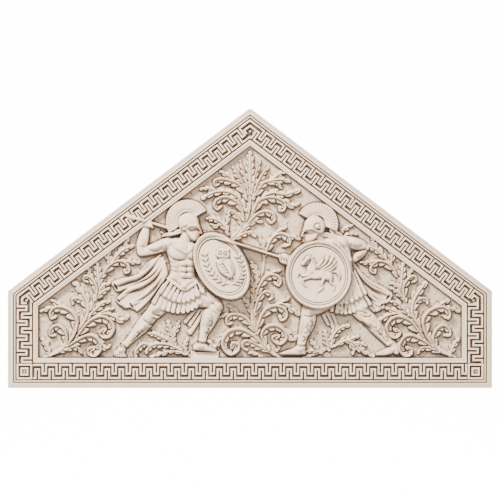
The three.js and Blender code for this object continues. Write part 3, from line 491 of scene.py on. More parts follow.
# torso, in a fitted cuirass
shape(P(-87, 146.4, -80, 149.6, -72, 150.6, -63, 148, -54, 144, -53, 132, -55, 122, -55, 112, -52, 107, -58, 101,
    -65.4, 97, -74, 102, -83, 108, -79.4, 116, -80.4, 126, -84, 137), 9.4, 5, 1.6, steps=4)
bump((-72, 136.4), (10.5, 8.6), 2.8, -8, 0.9)
bump((-58.4, 135.4), (6.4, 7.4), 2.4, 8, 0.9)
folds([P(-81.4, 133, -77, 129.2, -71, 127.8, -64.4, 128.6, -62.6, 131)], 2.3, 0.85)
folds([P(-62, 130.4, -58, 128, -54, 129.6)], 2, 0.85)
folds([P(-62.8, 144, -62.6, 130), P(-63.1, 128.4, -63.1, 120, -63.4, 111)], 1.5, 0.65)
for v in (124.4, 118.6, 113):
    for u in (-66.3, -59.9):
        bump((u, v), (3.7, 3.2), 2.1, 0, 0.8)
folds([P(-70.6, 121.4, -67, 121.8, -63.4, 121.1, -59.6, 121.8, -56, 121.2), P(-70.4, 115.6, -67, 116, -63.4, 115.3,
    -59.6, 116, -56, 115.6), P(-69.4, 110.4, -66, 109.6, -60.6, 109.6, -57, 110.4)], 1.7, 0.6)
folds([P(-69.6, 127.4, -71.4, 122, -71.2, 116, -69, 110), P(-56.6, 127, -55, 120, -56, 112)], 1.1, 0.9)
bump((-63.4, 107), (0.9, 1.1), -1.4)
for spot in ((-77.4, 127.4), (-75.8, 123.2), (-75.2, 119)):
    bump(spot, (3.8, 1.7), 1.3, -28, 0.8)
folds([P(-81.4, 126, -77, 125, -73, 123.6), P(-80, 121.6, -76, 120.6, -72.6, 119.2), P(-79, 117.4, -75.4, 116.6,
    -72, 115.4)], 0.9, 0.45)
bump((-75, 111), (4.6, 4.4), 1.2, -30)
bump((-63.4, 105), (5, 4), 0.8)
# neck edge of the cuirass, with a fringe of drops
line(P(-80.4, 149.4, -77.4, 144.4, -71.4, 139.6, -63.4, 135.8, -58, 140.4, -55, 146), 0.6, -1.1, fade=0.05)
folds([P(-79, 149.4, -76, 145.4, -70, 141, -63.4, 137.6, -58.4, 142)], 0.8, 0.45)
fringe = spline(P(-78.6, 144.4, -72.4, 139, -63.6, 134.4, -57.2, 139.4))
for k in range(13):
    bump(along_row(fringe, k / 12), (1.1, 1.1), 0.9)

# belt, coming to a point under a boss
roll([(-82, 109.4, 1.4, -3.4), (-74.4, 104.2, 1.8, 0), (-65.6, 99, 2, 0), (-58, 102.8, 1.8, 0),
    (-52.6, 106, 1.3, -1.4)], 0.6, 11.4, flat=3)
folds([P(-82, 111.8, -74, 106.6, -65.6, 101.6, -58.4, 105.2, -52.6, 109)], 1, 0.5)
folds([P(-83, 106.8, -74.6, 101.6, -65.6, 96.2, -57.6, 100.4, -51, 104)], 1, 0.5)
dome((-65.5, 102), (3.2, 3.4), 1.6, lift=12.2)
dome((-65.5, 102), (1.5, 1.5), 1.2, lift=13.4)

# raised arm
roll(W(-108.4, 136.4, 4.6, -108, 144, 5.4, -106, 152, 5, -104, 159, 3.4), 0.9, 3)
roll(W(-82, 144.4, 6.6, -90, 141.4, 6, -100, 138, 5, -108.4, 136.2, 4.4), 0.85, 3.6)
bump((-84.4, 145), (7, 6.4), 2.8, -20, 1)
bump((-95.4, 141.2), (7.4, 3.6), 2.4, 12, 0.8)
folds([P(-102.4, 141.6, -100, 138.4, -94, 137, -88.4, 139), P(-102, 142.6, -98, 145, -92, 145.4, -88.4, 143)],
    1.2, 0.5)
folds([P(-90, 147.4, -87.4, 142.4, -89.4, 137.4)], 0.9, 0.6)
folds([P(-110.4, 140.4, -107, 141.6, -103.4, 140.6)], 0.7, 0.6)
bump((-108.4, 146.4), (3.4, 7), 1.2, 4)

# spear behind the head
roll(W(-114, 170.2, 1.2, -94, 163.8, 1.3, -73, 157.6, 1.3), 1.2, 4.6)
dome((-102.6, 165), (5, 5.2), 4.6, lift=4.4, blend=0.6)
for k in range(4):
    roll([(-105.8 + 2.2 * k, 168.6 - 1.2 * k, 1.1), (-105 + 2.2 * k, 165.4 - 1.1 * k, 1.3),
        (-103.4 + 2 * k, 163 - 0.8 * k, 1)], 1, 7.6)
folds([[(-104.6 + 2.2 * k, 168.6 - 1.2 * k), (-103.8 + 2.2 * k, 165 - 1.1 * k),
    (-102.6 + 2 * k, 162.8)] for k in range(3)], 0.9, 0.35)

# neck and head
roll(W(-66, 145, 6, -64, 151, 5.4, -61, 157, 5), 0.8, 6, blend=0.8)
folds([P(-68.4, 152, -67, 147, -64, 142), P(-63, 151, -62.4, 147, -61, 142)], 1, 0.5)
shape(P(-62, 162, -51.8, 161.6, -50.4, 158.8, -48.2, 154.8, -49.8, 153.2, -49.3, 151.6, -49.9, 150.4, -49.5, 149.2,
    -51.4, 146.6, -56, 146.2, -61, 149), 10.4, 4, steps=4)
line(P(-58, 160.6, -54, 160.2, -50.4, 159.2), 0.6, -0.7, fade=0)
dome((-52.4, 157.4), (1.1, 0.7), 10.4)
line(P(-58.6, 159.1, -55, 158.7, -51.2, 158), 0.8, 3.4, fade=0)
line(P(-52.8, 151.2, -49.6, 151.3), 0.4, 1.2, fade=0)

# helmet
shape(P(-76, 157, -71.4, 159.4, -64.4, 159, -65.4, 155.4, -72, 153.2, -80, 151.4, -88.4, 151.2, -85, 154.4),
    8, 1.8, 1, steps=4)
folds([P(-74, 157.4, -70, 156, -65.4, 157.6), P(-86, 152.4, -79, 154, -73, 155.6)], 0.9, 0.5)
crest((-62.4, 166.4), 9, 21.8, 30, 212, 24)
dome((-61.6, 165.6), (10.4, 9.6), 8, lift=6.2, flat=2.4)
shape(P(-71, 159.4, -71.4, 167, -66, 172, -58, 172, -52, 167, -49.6, 160.2, -53.4, 160, -59.4, 160.6, -59.2, 158,
    -55.4, 156.6, -52.4, 152.6, -52.8, 148.2, -55.8, 146.6, -60.4, 149.4, -64.2, 154.4, -65.6, 158.4),
    11.8, 2.6, 1.2, steps=3)
roll(W(-51.6, 160.6, 0.9, -49.6, 158, 0.8, -48.4, 154.6, 0.6), 0.8, 11.2)
line(P(-71, 159.6, -65.4, 158.6, -60, 161.8, -55, 162, -49.6, 159.4), 0.7, -1.2, fade=0.05)
bump((-64.4, 163.2), (2.2, 2.2), 1.2)
line(P(-52, 156, -51.4, 152.4, -51.8, 147.6), 0.6, 1.3, fade=0)

# shield with an owl in a wreath
shield((-28.4, 122), (36.4, 24.8), -58, 15.2, [(0.78, 14.2), (0.795, 13.2), (0.82, 15), (0.845, 15.2), (0.865, 13.9),
    (0.885, 15.4), (0.96, 15.9), (0.985, 14.6)])
shape(P(-34, 127, -29, 130.4, -21, 129.4, -16.6, 123.4, -15.2, 116, -18.2, 109.6, -24, 111, -30.6, 116.4),
    3.6, 4.4, 14.2, steps=4)
dome((-27, 134), (7.2, 6), 3.7, -12, 14.2)
for ear in (W(-30.6, 137, 1.4, -32, 138.6, 1, -32.6, 139.4, 0.5), W(-23.2, 136.6, 1.4, -21.6, 138, 1,
    -20.8, 138.8, 0.5)):
    roll(ear, 0.6, 15.6)
for eye in ((-29.6, 135), (-24.2, 134.4)):
    line([(eye[0] + 1.7 * math.cos(t * 0.9), eye[1] + 1.7 * math.sin(t * 0.9)) for t in range(8)],
        0.5, 1.4, 3, fade=0)
    bump(eye, (0.9, 0.9), 0.5)
line(P(-32.4, 129.4, -29, 127.6, -25, 127.6, -21.4, 128.4), 0.55, 1.1, fade=0.1)
for k in range(4):
    line([(-31.6 + 1.9 * k, 124 - 2.5 * k), (-29.4 + 1.9 * k, 122.6 - 2.5 * k), (-26.4 + 2 * k, 123.4 - 2.6 * k)],
        0.4, 0.8)
line(P(-28.4, 126, -24, 120, -20, 112.4), 0.5, 1.2, fade=0.1)
for k in range(3):
    line([(-19 + 0.7 * k, 126 - 3 * k), (-17.6 + 0.5 * k, 118 - 2 * k)], 0.4, 0.8)
roll(W(-19, 114, 1.6, -15, 110, 1.2, -13, 107, 0.6), 0.5, 14.6)
for foot in (W(-24, 112, 0.9, -21.6, 109, 0.7), W(-21, 111.4, 0.9, -18, 108.4, 0.7)):
    roll(foot, 0.9, 14.8)
# the wreath
for branch in (P(-45, 134, -43, 124, -37, 114.4, -29, 107.4, -19.4, 103.6), P(-12, 132, -7.6, 123, -7.6, 114,
    -12, 107.2, -19, 103.4)):
    line(branch, 0.5, -0.9, fade=0.05)
    twig = spline(branch)
    for k in range(8):
        at = along_row(twig, 0.06 + k * 0.115)
        ahead = along_row(twig, 0.1 + k * 0.115) - at
        heading = math.atan2(ahead[1], ahead[0])
        for side in (0.75, -0.75):
            tip = (at[0] - 5.2 * math.cos(heading + side), at[1] - 5.2 * math.sin(heading + side))
            roll([(*at, 0.4), ((at[0] + tip[0]) / 2, (at[1] + tip[1]) / 2, 1), (*tip, 0.3)], 1.3, 14.6, steps=3)

# ---- The warrior on the right ----
# cloak
shape(P(100, 126, 107, 120, 116, 109, 126, 101.6, 138, 97, 143, 93, 139, 86, 134, 83.4, 131, 78.4, 124, 75.6, 119, 79,
    112, 88, 104, 100, 98, 112), 3, 2.4, 0.2, steps=4)
for fold in (W(103, 125, 1.2, 112, 112, 2.2, 122, 103.4, 3, 132, 98.4, 3.2, 140, 93.4, 2.8), W(102, 120, 0.8,
    111, 106, 1.2, 121, 96.4, 1.4, 130, 90.6, 1.4, 136.6, 86.4, 1.2), W(102, 117, 1.2, 111, 102, 2.2, 120, 91.6, 2.8,
    127, 85.4, 2.8, 133, 81, 2.2), W(102, 108, 1, 109, 96, 1.8, 116, 86, 2.2, 124, 78, 2)):
    roll(fold, 0.95, 2.2)
folds([P(104, 119, 113, 106, 123, 97.4, 135, 90.4), P(103, 113, 111, 99.4, 120, 89.4, 130, 83)], 2.2, 1.3)
folds([P(106, 121, 116, 107.6, 127, 100.4, 138, 95), P(103, 116, 112, 102, 121, 93, 132, 86.4), P(103, 107, 110, 95,
    117, 86, 125, 79)], 1.2, 0.65)
for hem in (P(142.4, 93.4, 140.4, 88.4, 135.4, 84.6), P(133, 82.6, 131, 78.4, 125.4, 76)):
    line(hem, 0.8, -1.2, fade=0.1)
mouth((138, 90.8), (1, 2.8), -34)
mouth((131.8, 82.6), (0.9, 2), -50)
# fall of the cloak between the legs
for fold in (W(72, 78, 2, 75, 71, 2.4, 78.6, 64, 2), W(76, 77, 2.2, 80, 69, 2.6, 83.6, 60.4, 2.2), W(81, 76, 2,
    84, 69, 2.4, 86.4, 63, 1.8)):
    roll(fold, 0.8, 0.8)
folds([P(75, 75, 78.6, 68, 82, 61), P(80, 75, 83, 68, 85.6, 62)], 1.1, 0.6)

# rear leg, in a greave
roll(W(104, 87, 9, 111, 77, 8.6, 118, 69.4, 7), 0.55, 2)
roll(W(118.6, 69.4, 7, 126, 61, 7, 134, 51.6, 5.4, 141, 43.4, 3.8), 0.85, 1.6)
bump((117.6, 66.4), (6, 4.6), 3, -40)
bump((126, 62), (9, 4), 2.2, -46)
bump((111, 79), (7, 5), 1.6, -50)
folds([P(108.6, 66.4, 112.6, 65.4, 118, 61.4, 121.6, 57), P(123, 74.4, 119, 71.4, 112.6, 71.4)], 2.2, 0.9)
folds([P(112.4, 62.6, 117.6, 59.6, 120.4, 55.4), P(107, 77, 113, 76.4, 119, 73)], 1.5, 0.7)
bump((113, 82), (4.4, 3), 1.5, -40)
folds([P(130, 66.4, 135, 58, 141, 48), P(123, 62.4, 130, 54, 138, 45)], 1.3, 0.7)
folds([P(127, 65, 133, 55.6, 139.6, 46.4)], -0.6, 0.8)
line(P(136.4, 42.6, 141, 45, 146.4, 46.4), 0.9, -1.5, fade=0.1)
folds([P(138.6, 40, 143, 42.4, 147.4, 43.6)], 0.9, 0.5)
roll(W(141.6, 44, 3.8, 145, 39.6, 4.2, 146.4, 37, 3.6), 0.8, 2.2)
roll(W(143.6, 39.4, 4.2, 138, 36.6, 3.5, 132, 34.8, 2.4, 127.4, 33.8, 1.4), 0.9, 2)
folds([P(129.6, 35.8, 130.6, 34.4, 131, 33), P(132.4, 36.6, 133.4, 34.8, 133.8, 33.2)], 0.6, 0.5)

# front leg, in a greave
roll(W(76, 86, 8, 68, 82, 8, 60, 77.6, 6.6), 0.85, 3)
roll(W(58.6, 78.4, 7, 58.4, 70, 7.6, 56, 60, 6.6, 52.6, 50, 4.6, 51, 43, 4.2), 0.9, 2.4)
bump((58.6, 77), (5, 4.6), 3.2)
bump((58.6, 67), (5, 9), 2.2, 6)
folds([P(52.6, 73.4, 58.4, 71.4, 64.6, 73.6)], 1.9, 0.8)
folds([P(62.4, 72, 62, 63, 58, 51), P(53.4, 71, 52.6, 60, 50, 48)], 1.3, 0.7)
line(P(53.4, 75, 58.6, 73, 64, 75.2), 0.6, -0.8, fade=0.1)
line(P(46.4, 45.6, 50.6, 44, 55.6, 44.8), 0.9, -1.5, fade=0.1)
folds([P(46, 42.4, 50.6, 40.6, 55, 41.8)], 0.9, 0.5)
shape(P(47, 42.6, 55, 42.4, 55.4, 38, 54.4, 33.2, 33, 33.2, 30.6, 35, 36, 37.4, 42.4, 39.4), 6.4, 3.2, 0.8, steps=3)
bump((50, 39), (4, 3), 2.2)
folds([P(40, 37.6, 41.4, 35.6, 42.6, 34), P(37, 36.6, 38.4, 35, 39, 33.8)], 0.6, 0.4)

# engraved scrolls on the greaves
for scroll in (P(59, 67.6, 62.6, 66, 61.4, 62, 57.6, 62, 57.4, 65.4), P(54.6, 61, 58, 59, 57.4, 55, 54, 55.6),
    P(59, 58, 60.4, 54, 56.4, 50.4), P(53, 52, 55.6, 48.6, 52.4, 46.4), P(123, 67, 127, 65, 126.6, 60.6, 123.4, 61.6),
    P(129, 60, 133, 57, 131.6, 53, 128.6, 55), P(135, 52.4, 138.4, 49.4, 137, 46.4), P(-41, 68, -37.4, 66.4, -39, 62,
    -42.2, 63.4), P(-43.6, 60.6, -40.6, 58.4, -42.6, 54.6, -45, 56.4), P(-108, 63, -104.4, 61, -106.6, 57,
    -110, 58.6), P(-113.4, 56.6, -111, 54.4, -113.6, 51.4)):
    line(scroll, 0.6, 1.5, fade=0.1)

# skirt: two rows of leather straps
straps(P(86, 98, 95, 97, 102, 100, 108.6, 104), P(80, 79, 88, 76.6, 95, 75.4, 102, 76.6, 109, 79.6, 115, 82,
    121.4, 85), 10, 6.4)
straps(P(88, 102, 95, 107, 100.4, 113, 105, 118), P(84, 87.4, 91, 86, 98, 86.6, 105, 89.6, 111, 93, 116.6, 96.4),
    7, 8.8)

# back and shoulder
shape(P(72, 150, 82, 153, 91, 152.6, 98, 149, 100.4, 141, 101, 132, 102.4, 124, 100, 118, 94, 113, 80, 110, 72, 120),
    9.2, 6, 1.6, steps=4)
bump((94, 146.6), (7, 6.6), 2.4, 0, 1)
bump((83, 141), (8, 9), 1.6, 0, 1)
folds([P(98.6, 140.4, 100, 133, 101.6, 126)], 0.9, 0.6)
# edge of the cloak drawn over the shoulder
for fold in (W(79, 151, 0.9, 88, 144.4, 1.3, 95, 135.4, 1.4, 99.6, 125, 1.2, 101.6, 116, 1), W(83, 151.6, 0.9,
    91, 145.6, 1.3, 97.4, 137.6, 1.4, 100.8, 128, 1.2)):
    roll(fold, 0.8, 10.2)
folds([P(81, 151, 89.6, 144.6, 96.4, 136.2, 100.4, 126.2), P(76, 150, 85, 143.4, 92, 134, 97, 123)], 1.2, 0.5)

# forearm behind the shield
roll(W(50, 126, 4.2, 44, 127, 4.4, 38, 128.4, 4.2), 0.9, 2.4)
# arm folded behind the back
roll(W(95, 146.6, 5.6, 104, 144.6, 6.2, 112, 142.4, 5, 117, 140.4, 2.6), 0.9, 3.2)
roll(W(116, 139.4, 2.4, 111, 134.6, 4.2, 105.4, 129.6, 3.6, 101.4, 126, 2), 0.95, 2)
bump((105.4, 145.6), (7, 3.8), 2, -12, 0.8)
bump((110, 134.4), (5, 3), 1.4, 42, 0.8)
folds([P(100.6, 137.4, 106, 136.4, 111.4, 137.4, 116.4, 140.2)], 2.2, 0.6)
folds([P(99.6, 150, 101.6, 145, 100, 139.4)], 1, 0.6)
folds([P(107, 141.4, 111, 142.4, 114.6, 142)], 0.6, 0.5)

# neck and head
roll(W(71, 144, 6.4, 68, 150, 6, 65, 157, 5), 0.8, 5.4, blend=0.8)
shape(P(65, 159, 54.8, 158.4, 53.4, 155.8, 51, 152, 52.8, 150.4, 52.3, 148.8, 53, 147.8, 52.6, 146.6, 54.8, 144,
    59, 144.4, 64, 148), 10, 4, steps=4)
line(P(60, 157.4, 57, 157.2, 53.6, 156.2), 0.6, -0.7, fade=0)
dome((55.4, 154.4), (1.1, 0.7), 10)
line(P(61.4, 156.1, 58, 155.7, 54.4, 155), 0.8, 3.4, fade=0)
line(P(55.6, 148.4, 52.6, 148.5), 0.4, 1.2, fade=0)

# helmet
shape(P(67.6, 155.4, 73, 156.2, 78.4, 155.6, 85.6, 151.4, 79, 150, 71, 151.4), 8.6, 1.8, 1, steps=4)
folds([P(69, 154.4, 75, 153.6, 83, 151.4)], 0.9, 0.5)
crest((67.4, 164.4), 7.2, 20.8, -22, 152, 20)
for lock in (W(84.6, 159, 2, 86.6, 155.6, 1.8, 92, 153, 0.8), W(81, 158, 2, 83, 154.6, 1.8, 87.4, 152.4, 0.9)):
    roll(lock, 0.7, 4.4)
folds([P(83, 158.4, 85.4, 154.6, 90, 152.4)], 0.9, 0.45)
dome((64.6, 162), (10.6, 10), 8, lift=6.2, flat=2.4)
shape(P(74, 156, 74.4, 163.4, 69, 168.6, 61, 169, 55, 164, 52.8, 157.2, 56.6, 157, 62.4, 157.6, 62, 155, 58.6, 154,
    55.6, 150, 55.8, 146, 59.4, 144.2, 64.6, 147, 68.4, 152, 69.4, 155.6), 11.8, 2.6, 1.2, steps=3)
roll(W(54.6, 157.6, 0.9, 52.8, 155, 0.8, 51.6, 151.6, 0.6), 0.8, 11.2)
line(P(74.6, 157, 69, 156, 63, 158.8, 58, 159, 53, 156.6), 0.9, -1.7, fade=0.05)
bump((67.4, 161.2), (2.8, 2.8), 1.9)
line([(67.4 + 3.4 * math.cos(t), 161.2 + 3.4 * math.sin(t)) for t in range(8)], 0.7, 0.9, fade=0)
line(P(54.8, 153.4, 54.4, 149.6, 54.8, 145.2), 0.6, 1.3, fade=0)

# shield with a winged horse
shield((68.5, 113.5), (32.8, 34.2), 0, 15.4, [(0.81, 14.6), (0.825, 13.6), (0.845, 15.4), (0.87, 15.6), (0.885, 14.1),
    (0.905, 15.6), (0.965, 16.1), (0.985, 14.8)])
shape(P(56.4, 117, 61, 120.4, 67, 118.4, 74, 118.4, 80, 117.2, 83, 113, 82, 108, 77.4, 107, 72, 109.2, 65, 108.6,
    59.4, 109.6, 56, 112.6), 2.5, 3, 14.4, steps=4)
shape(P(51, 122.8, 50.8, 125.6, 54, 128.2, 56.4, 131.8, 59.4, 132, 63.6, 129.4, 66, 124.6, 66.4, 118.6, 63, 113,
    58, 115, 56.4, 119, 57.2, 122.8, 54.4, 122.4), 2.7, 2.6, 14.4, steps=4)
bump((78.4, 112.6), (4.4, 4.6), 0.8)
bump((60.4, 117.4), (3.6, 4.2), 0.6)
# its legs and tail
for limb in (W(58, 113.4, 1.9, 52.6, 112.6, 1.4, 48.8, 115.6, 1.1, 47.4, 111.6, 0.8), W(59.4, 111, 1.8, 53, 108.4, 1.3,
    53.6, 104, 1, 56.6, 101.6, 0.8), W(73.6, 110, 2.3, 71.6, 104.4, 1.4, 72.4, 100.6, 1, 67.4, 96.4, 0.8),
    W(80, 110, 2.2, 80.6, 105.4, 1.4, 84.2, 102.6, 0.9, 83, 97.8, 0.7), W(82.4, 116, 1, 86, 116.4, 1.5,
    89, 112.4, 1.6, 88.4, 107.4, 0.6)):
    roll(limb, 1.3, 14.4)
# its mane and head
for k in range(5):
    roll([(59.6 + 1.5 * k, 131.6 - 2.0 * k, 0.9), (62.8 + 1.3 * k, 130.4 - 2.6 * k, 0.5)], 1.9, 16.2, steps=3)
roll(W(58.2, 130, 1.9, 55.2, 127, 1.8, 52.2, 123.8, 1.2), 1.5, 16.2)
roll(W(58.6, 130.6, 0.8, 59.6, 133.4, 0.4), 1.3, 16.4)
folds([P(60, 129.4, 59.6, 125.6, 56.8, 122.6)], 1.4, 0.45)
# its wing
shape(P(64.6, 118.4, 69, 127, 74.4, 131.6, 81, 130.4, 86, 126.6, 86.4, 121.8, 80, 117.6, 72, 114),
    0.9, 2, 14.4, steps=4)
for k in range(6):
    angle, reach = math.radians(58 - 9 * k), (16.6, 20, 22.4, 21.6, 18.4, 13.6)[k]
    start = (64.6 + 0.9 * k, 119.0 - 0.9 * k)
    bend = (start[0] + 0.55 * reach * math.cos(angle - 0.22), start[1] + 0.55 * reach * math.sin(angle - 0.22))
    tip = (start[0] + reach * math.cos(angle), start[1] + reach * math.sin(angle))
    roll([(*start, 0.9), (*bend, 1.5), (*tip, 0.7)], 1.9, 14.6)
bump((68, 122), (4.2, 3.2), 1, 35)

# spear held across the other shield, and the fist on it
roll(W(-34, 150.4, 0.6, -30, 149.2, 1, -18, 145.8, 0.95, 0, 140.6, 1), 1.3, 15.8)
roll(W(-1, 140.8, 1, 14, 136, 1.05, 38, 128.6, 1.05), 1.5, 8.4)
dome((34.6, 129.2), (6, 5.2), 6, -20, lift=4.6, blend=0.4)
for k in range(4):
    roll([(29.8 + 2.5 * k, 132.6 - 1.0 * k, 1.1), (30.8 + 2.5 * k, 129 - 0.9 * k, 1.5),
        (31.6 + 2.5 * k, 126 - 0.8 * k, 1.1)], 1.2, 9.2)
folds([[(31.2 + 2.5 * k, 132.4 - 1.0 * k), (32.2 + 2.5 * k, 126 - 0.9 * k)] for k in range(3)], 3.6, 0.5)


# ---- Sizes of the slab and its border, in metres, as in the solids ----
WIDTH, HEIGHT, EAVES, APEX = 2.42, 1.395, 0.485, 0.014
GROUND = 0.080          # from the back face to the ground of the relief
RAKE = math.atan2(HEIGHT - EAVES, WIDTH / 2 - APEX / 2)
POINT = HEIGHT + APEX / 2 * math.tan(RAKE)
BORDER = 0.150
KEY_START, KEY_WIDTH = 0.044, 0.078
KEY_FLOOR = GROUND + 0.024
PERIOD, RAKE_PERIOD = 0.069, 0.062
RIBBON, RAKE_RIBBON = 0.0095, 0.0082


def outline(by):
    """The panel's pointed outline set in by a distance, as x and z over the lower edge."""
    x = WIDTH / 2 - by
    top = POINT - by / math.cos(RAKE)
    eaves = top - x * math.tan(RAKE)
    return [(-x, by), (x, by), (x, eaves), (0, top), (-x, eaves)]


# ---- Stone ----
CREAM, PALE = (0.70, 0.535, 0.39, 1), (0.77, 0.62, 0.48, 1)
WARM, SHADE_UMBER = (0.57, 0.415, 0.29, 1), (0.066, 0.038, 0.021, 1)
stone = bpy.data.materials.new("limestone")
stone.use_nodes = True
nodes, links = stone.node_tree.nodes, stone.node_tree.links
bsdf = nodes["Principled BSDF"]
bsdf.inputs["Roughness"].default_value = 0.82
bsdf.inputs["Specular IOR Level"].default_value = 0.25


def feed(socket, value):
    """Links a socket to another one, or gives it a value."""
    if isinstance(value, bpy.types.NodeSocket):
        links.new(value, socket)
    else:
        socket.default_value = value


def node(kind, output, **inputs):
    """One output of a new shader node; an underscore stands for the space in an input's name."""
    made = nodes.new(kind)
    for name, value in inputs.items():
        feed(made.inputs[name.replace("_", " ")], value)
    return made.outputs[output]


def calc(operation, *values, clamp=False):
    """What a new maths node gives."""
    made = nodes.new("ShaderNodeMath")
    made.operation, made.use_clamp = operation, clamp
    for socket, value in zip(made.inputs, values):
        feed(socket, value)
    return made.outputs[0]


def mix(factor, first, second):
    """A colour between two others."""
    made = nodes.new("ShaderNodeMix")
    made.data_type = "RGBA"
    for socket, value in ((0, factor), (6, first), (7, second)):
        feed(made.inputs[socket], value)
    return made.outputs[2]


place = node("ShaderNodeTexCoord", "Object")
cloud = node("ShaderNodeTexNoise", "Fac", Vector=place, Scale=3.2, Detail=6.0, Roughness=0.6)
mottle = node("ShaderNodeTexNoise", "Fac", Vector=place, Scale=38.0, Detail=5.0, Roughness=0.65)
grain = node("ShaderNodeTexNoise", "Fac", Vector=place, Scale=420.0, Detail=3.0, Roughness=0.7)
pits = node("ShaderNodeTexVoronoi", "Distance", Vector=place, Scale=95.0)
# the painted shade of each vertex
hollow = nodes.new("ShaderNodeAttribute")
hollow.attribute_name = "hollow"
stain = node("ShaderNodeMapRange", "Result", Value=mottle, From_Min=0.42, From_Max=0.75, To_Min=0.0, To_Max=0.5)
unshaded_colour = mix(stain, mix(cloud, CREAM, PALE), WARM)
patchy = calc("MULTIPLY_ADD", mottle, 0.25, 0.87)
# painted shade: the stone turns towards umber where a vertex is shaded, a little patchy with the mottle
painted_shade = calc("MULTIPLY", calc("POWER", hollow.outputs["Fac"], 0.8), patchy, clamp=True)
feed(bsdf.inputs["Base Color"], mix(painted_shade, unshaded_colour, SHADE_UMBER))
rough = calc("MULTIPLY_ADD", grain, 0.5, pits)
tooled = node("ShaderNodeBump", "Normal", Strength=0.22, Distance=0.0012, Height=rough)
waves = node("ShaderNodeBump", "Normal", Strength=0.35, Distance=0.003, Height=mottle, Normal=tooled)
feed(bsdf.inputs["Normal"], waves)


def add_mesh(name, vertices, faces, painted_shades, normals=None):
    """A piece of the stone, with its painted shade at each vertex."""
    mesh = bpy.data.meshes.new(name)
    mesh.from_pydata([tuple(p) for p in vertices], [], faces)
    mesh.attributes.new("hollow", "FLOAT", "POINT").data.foreach_set("value", np.asarray(painted_shades, np.float32))
    if normals is not None:
        mesh.polygons.foreach_set("use_smooth", [True] * len(mesh.polygons))
    mesh.update()
    if normals is not None:
        mesh.normals_split_custom_set_from_vertices([tuple(n) for n in normals])
    piece = bpy.data.objects.new(name, mesh)
    bpy.context.collection.objects.link(piece)
    mesh.materials.append(stone)
    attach(piece, "root")
    return piece


# ---- Small broken leaf tips, scattered on the ground near the foliage ----
def blur(field, sigma):
    """A Gaussian blur; sigma is in cells."""
    r = int(3 * sigma) + 1
    kernel = np.exp(-0.5 * (np.arange(-r, r + 1) / sigma) ** 2)
    kernel /= kernel.sum()
    p = np.pad(field, r, mode="edge")
    p = sum(kernel[i] * p[i:i + field.shape[0], :] for i in range(2 * r + 1))
    return sum(kernel[i] * p[:, i:i + field.shape[1]] for i in range(2 * r + 1))


SEED, TRIES = 7, 900
rng = np.random.default_rng(SEED)
nearby = blur((relief > 1).astype(float), 14)
for _ in range(TRIES):
    i, j = rng.integers(8, ROWS - 8), rng.integers(8, COLUMNS - 8)
    heading, reach, chance = rng.uniform(0, 6.3), rng.uniform(1.6, 3.4), rng.uniform(0.02, 0.75)
    if relief[i - 4:i + 5, j - 4:j + 5].max() < 0.5 and nearby[i, j] > chance:
        u, v = across[j], upward[i]
        bend = (u + reach * math.cos(heading), v + reach * math.sin(heading))
        tip = (u + 1.7 * reach * math.cos(heading + 0.5), v + 1.7 * reach * math.sin(heading + 0.5))
        roll([(u, v, 0.9), (*bend, 1.2), (*tip, 0.4)], 0.55, 0.1, steps=3)

# ---- Finish of the carving: crisp foliage and shields, softer figures, a worn surface ----
crisp = np.clip(np.maximum((7 - blur(relief, 5)) / 3, blur(relief, 4) - 12.6), 0, 1)
relief = crisp * blur(relief, 0.6) + (1 - crisp) * blur(relief, 0.95)
relief += (0.55 * crisp + 0.30 * (1 - crisp)) * (relief - blur(relief, 2.6))
relief += 0.32 * np.clip(relief - blur(relief, 8), -2.2, 2.2) * (relief > 0.5)
worn = sum(amount * blur(rng.standard_normal(relief.shape), sigma)
           for amount, sigma in ((0.9, 1.2), (1.6, 2.6), (3.0, 7)))
near_ground = np.clip(1.2 - relief, 0, 1)
relief = relief + worn * (0.09 + 0.46 * near_ground + 0.08 * (relief > 13))


# ---- Painted shade in the hollows, under the forms and along the border ----
def sunk(sigma, drop, start, reach):
    """How far a cell lies under the blurred carving just above it, from 0 to 1; this sets the painted shade."""
    around = np.roll(blur(relief, sigma), -drop, axis=0)
    return np.clip((around - relief - start) / reach, 0, 1)


# painted shade: darker the deeper a cell lies under the carving just above it, at three sizes, and darker on the low
# ground
painted_shades = (0.12 * sunk(9, 6, 0.1, 3.0) + 0.29 * sunk(3.2, 3, 0.15, 1.3)
           + (0.22 + 0.34 * crisp) * sunk(1.4, 2, 0.08, 0.5) + 0.21 * np.clip(1 - relief / 3, 0, 1))
uu, vv = np.meshgrid(across, upward)
painted_shades *= 1 - 0.3 * np.exp(-(uu / 34) ** 2) * (relief < 9)     # less painted shade in the middle
frame_edge = np.array(outline(BORDER)) / MODULE
from_frame = trace(np.vstack([frame_edge, frame_edge[:1]]), uu, vv)[0]
# painted shadow: a dark line on the field along the border's inner edge
painted_shades += np.where(relief < 2, 0.9 * np.exp(-(from_frame / 1.1) ** 2) + 0.15 * np.exp(-(from_frame / 5) ** 2), 0)
painted_shades = np.clip(painted_shades, 0, 0.98)

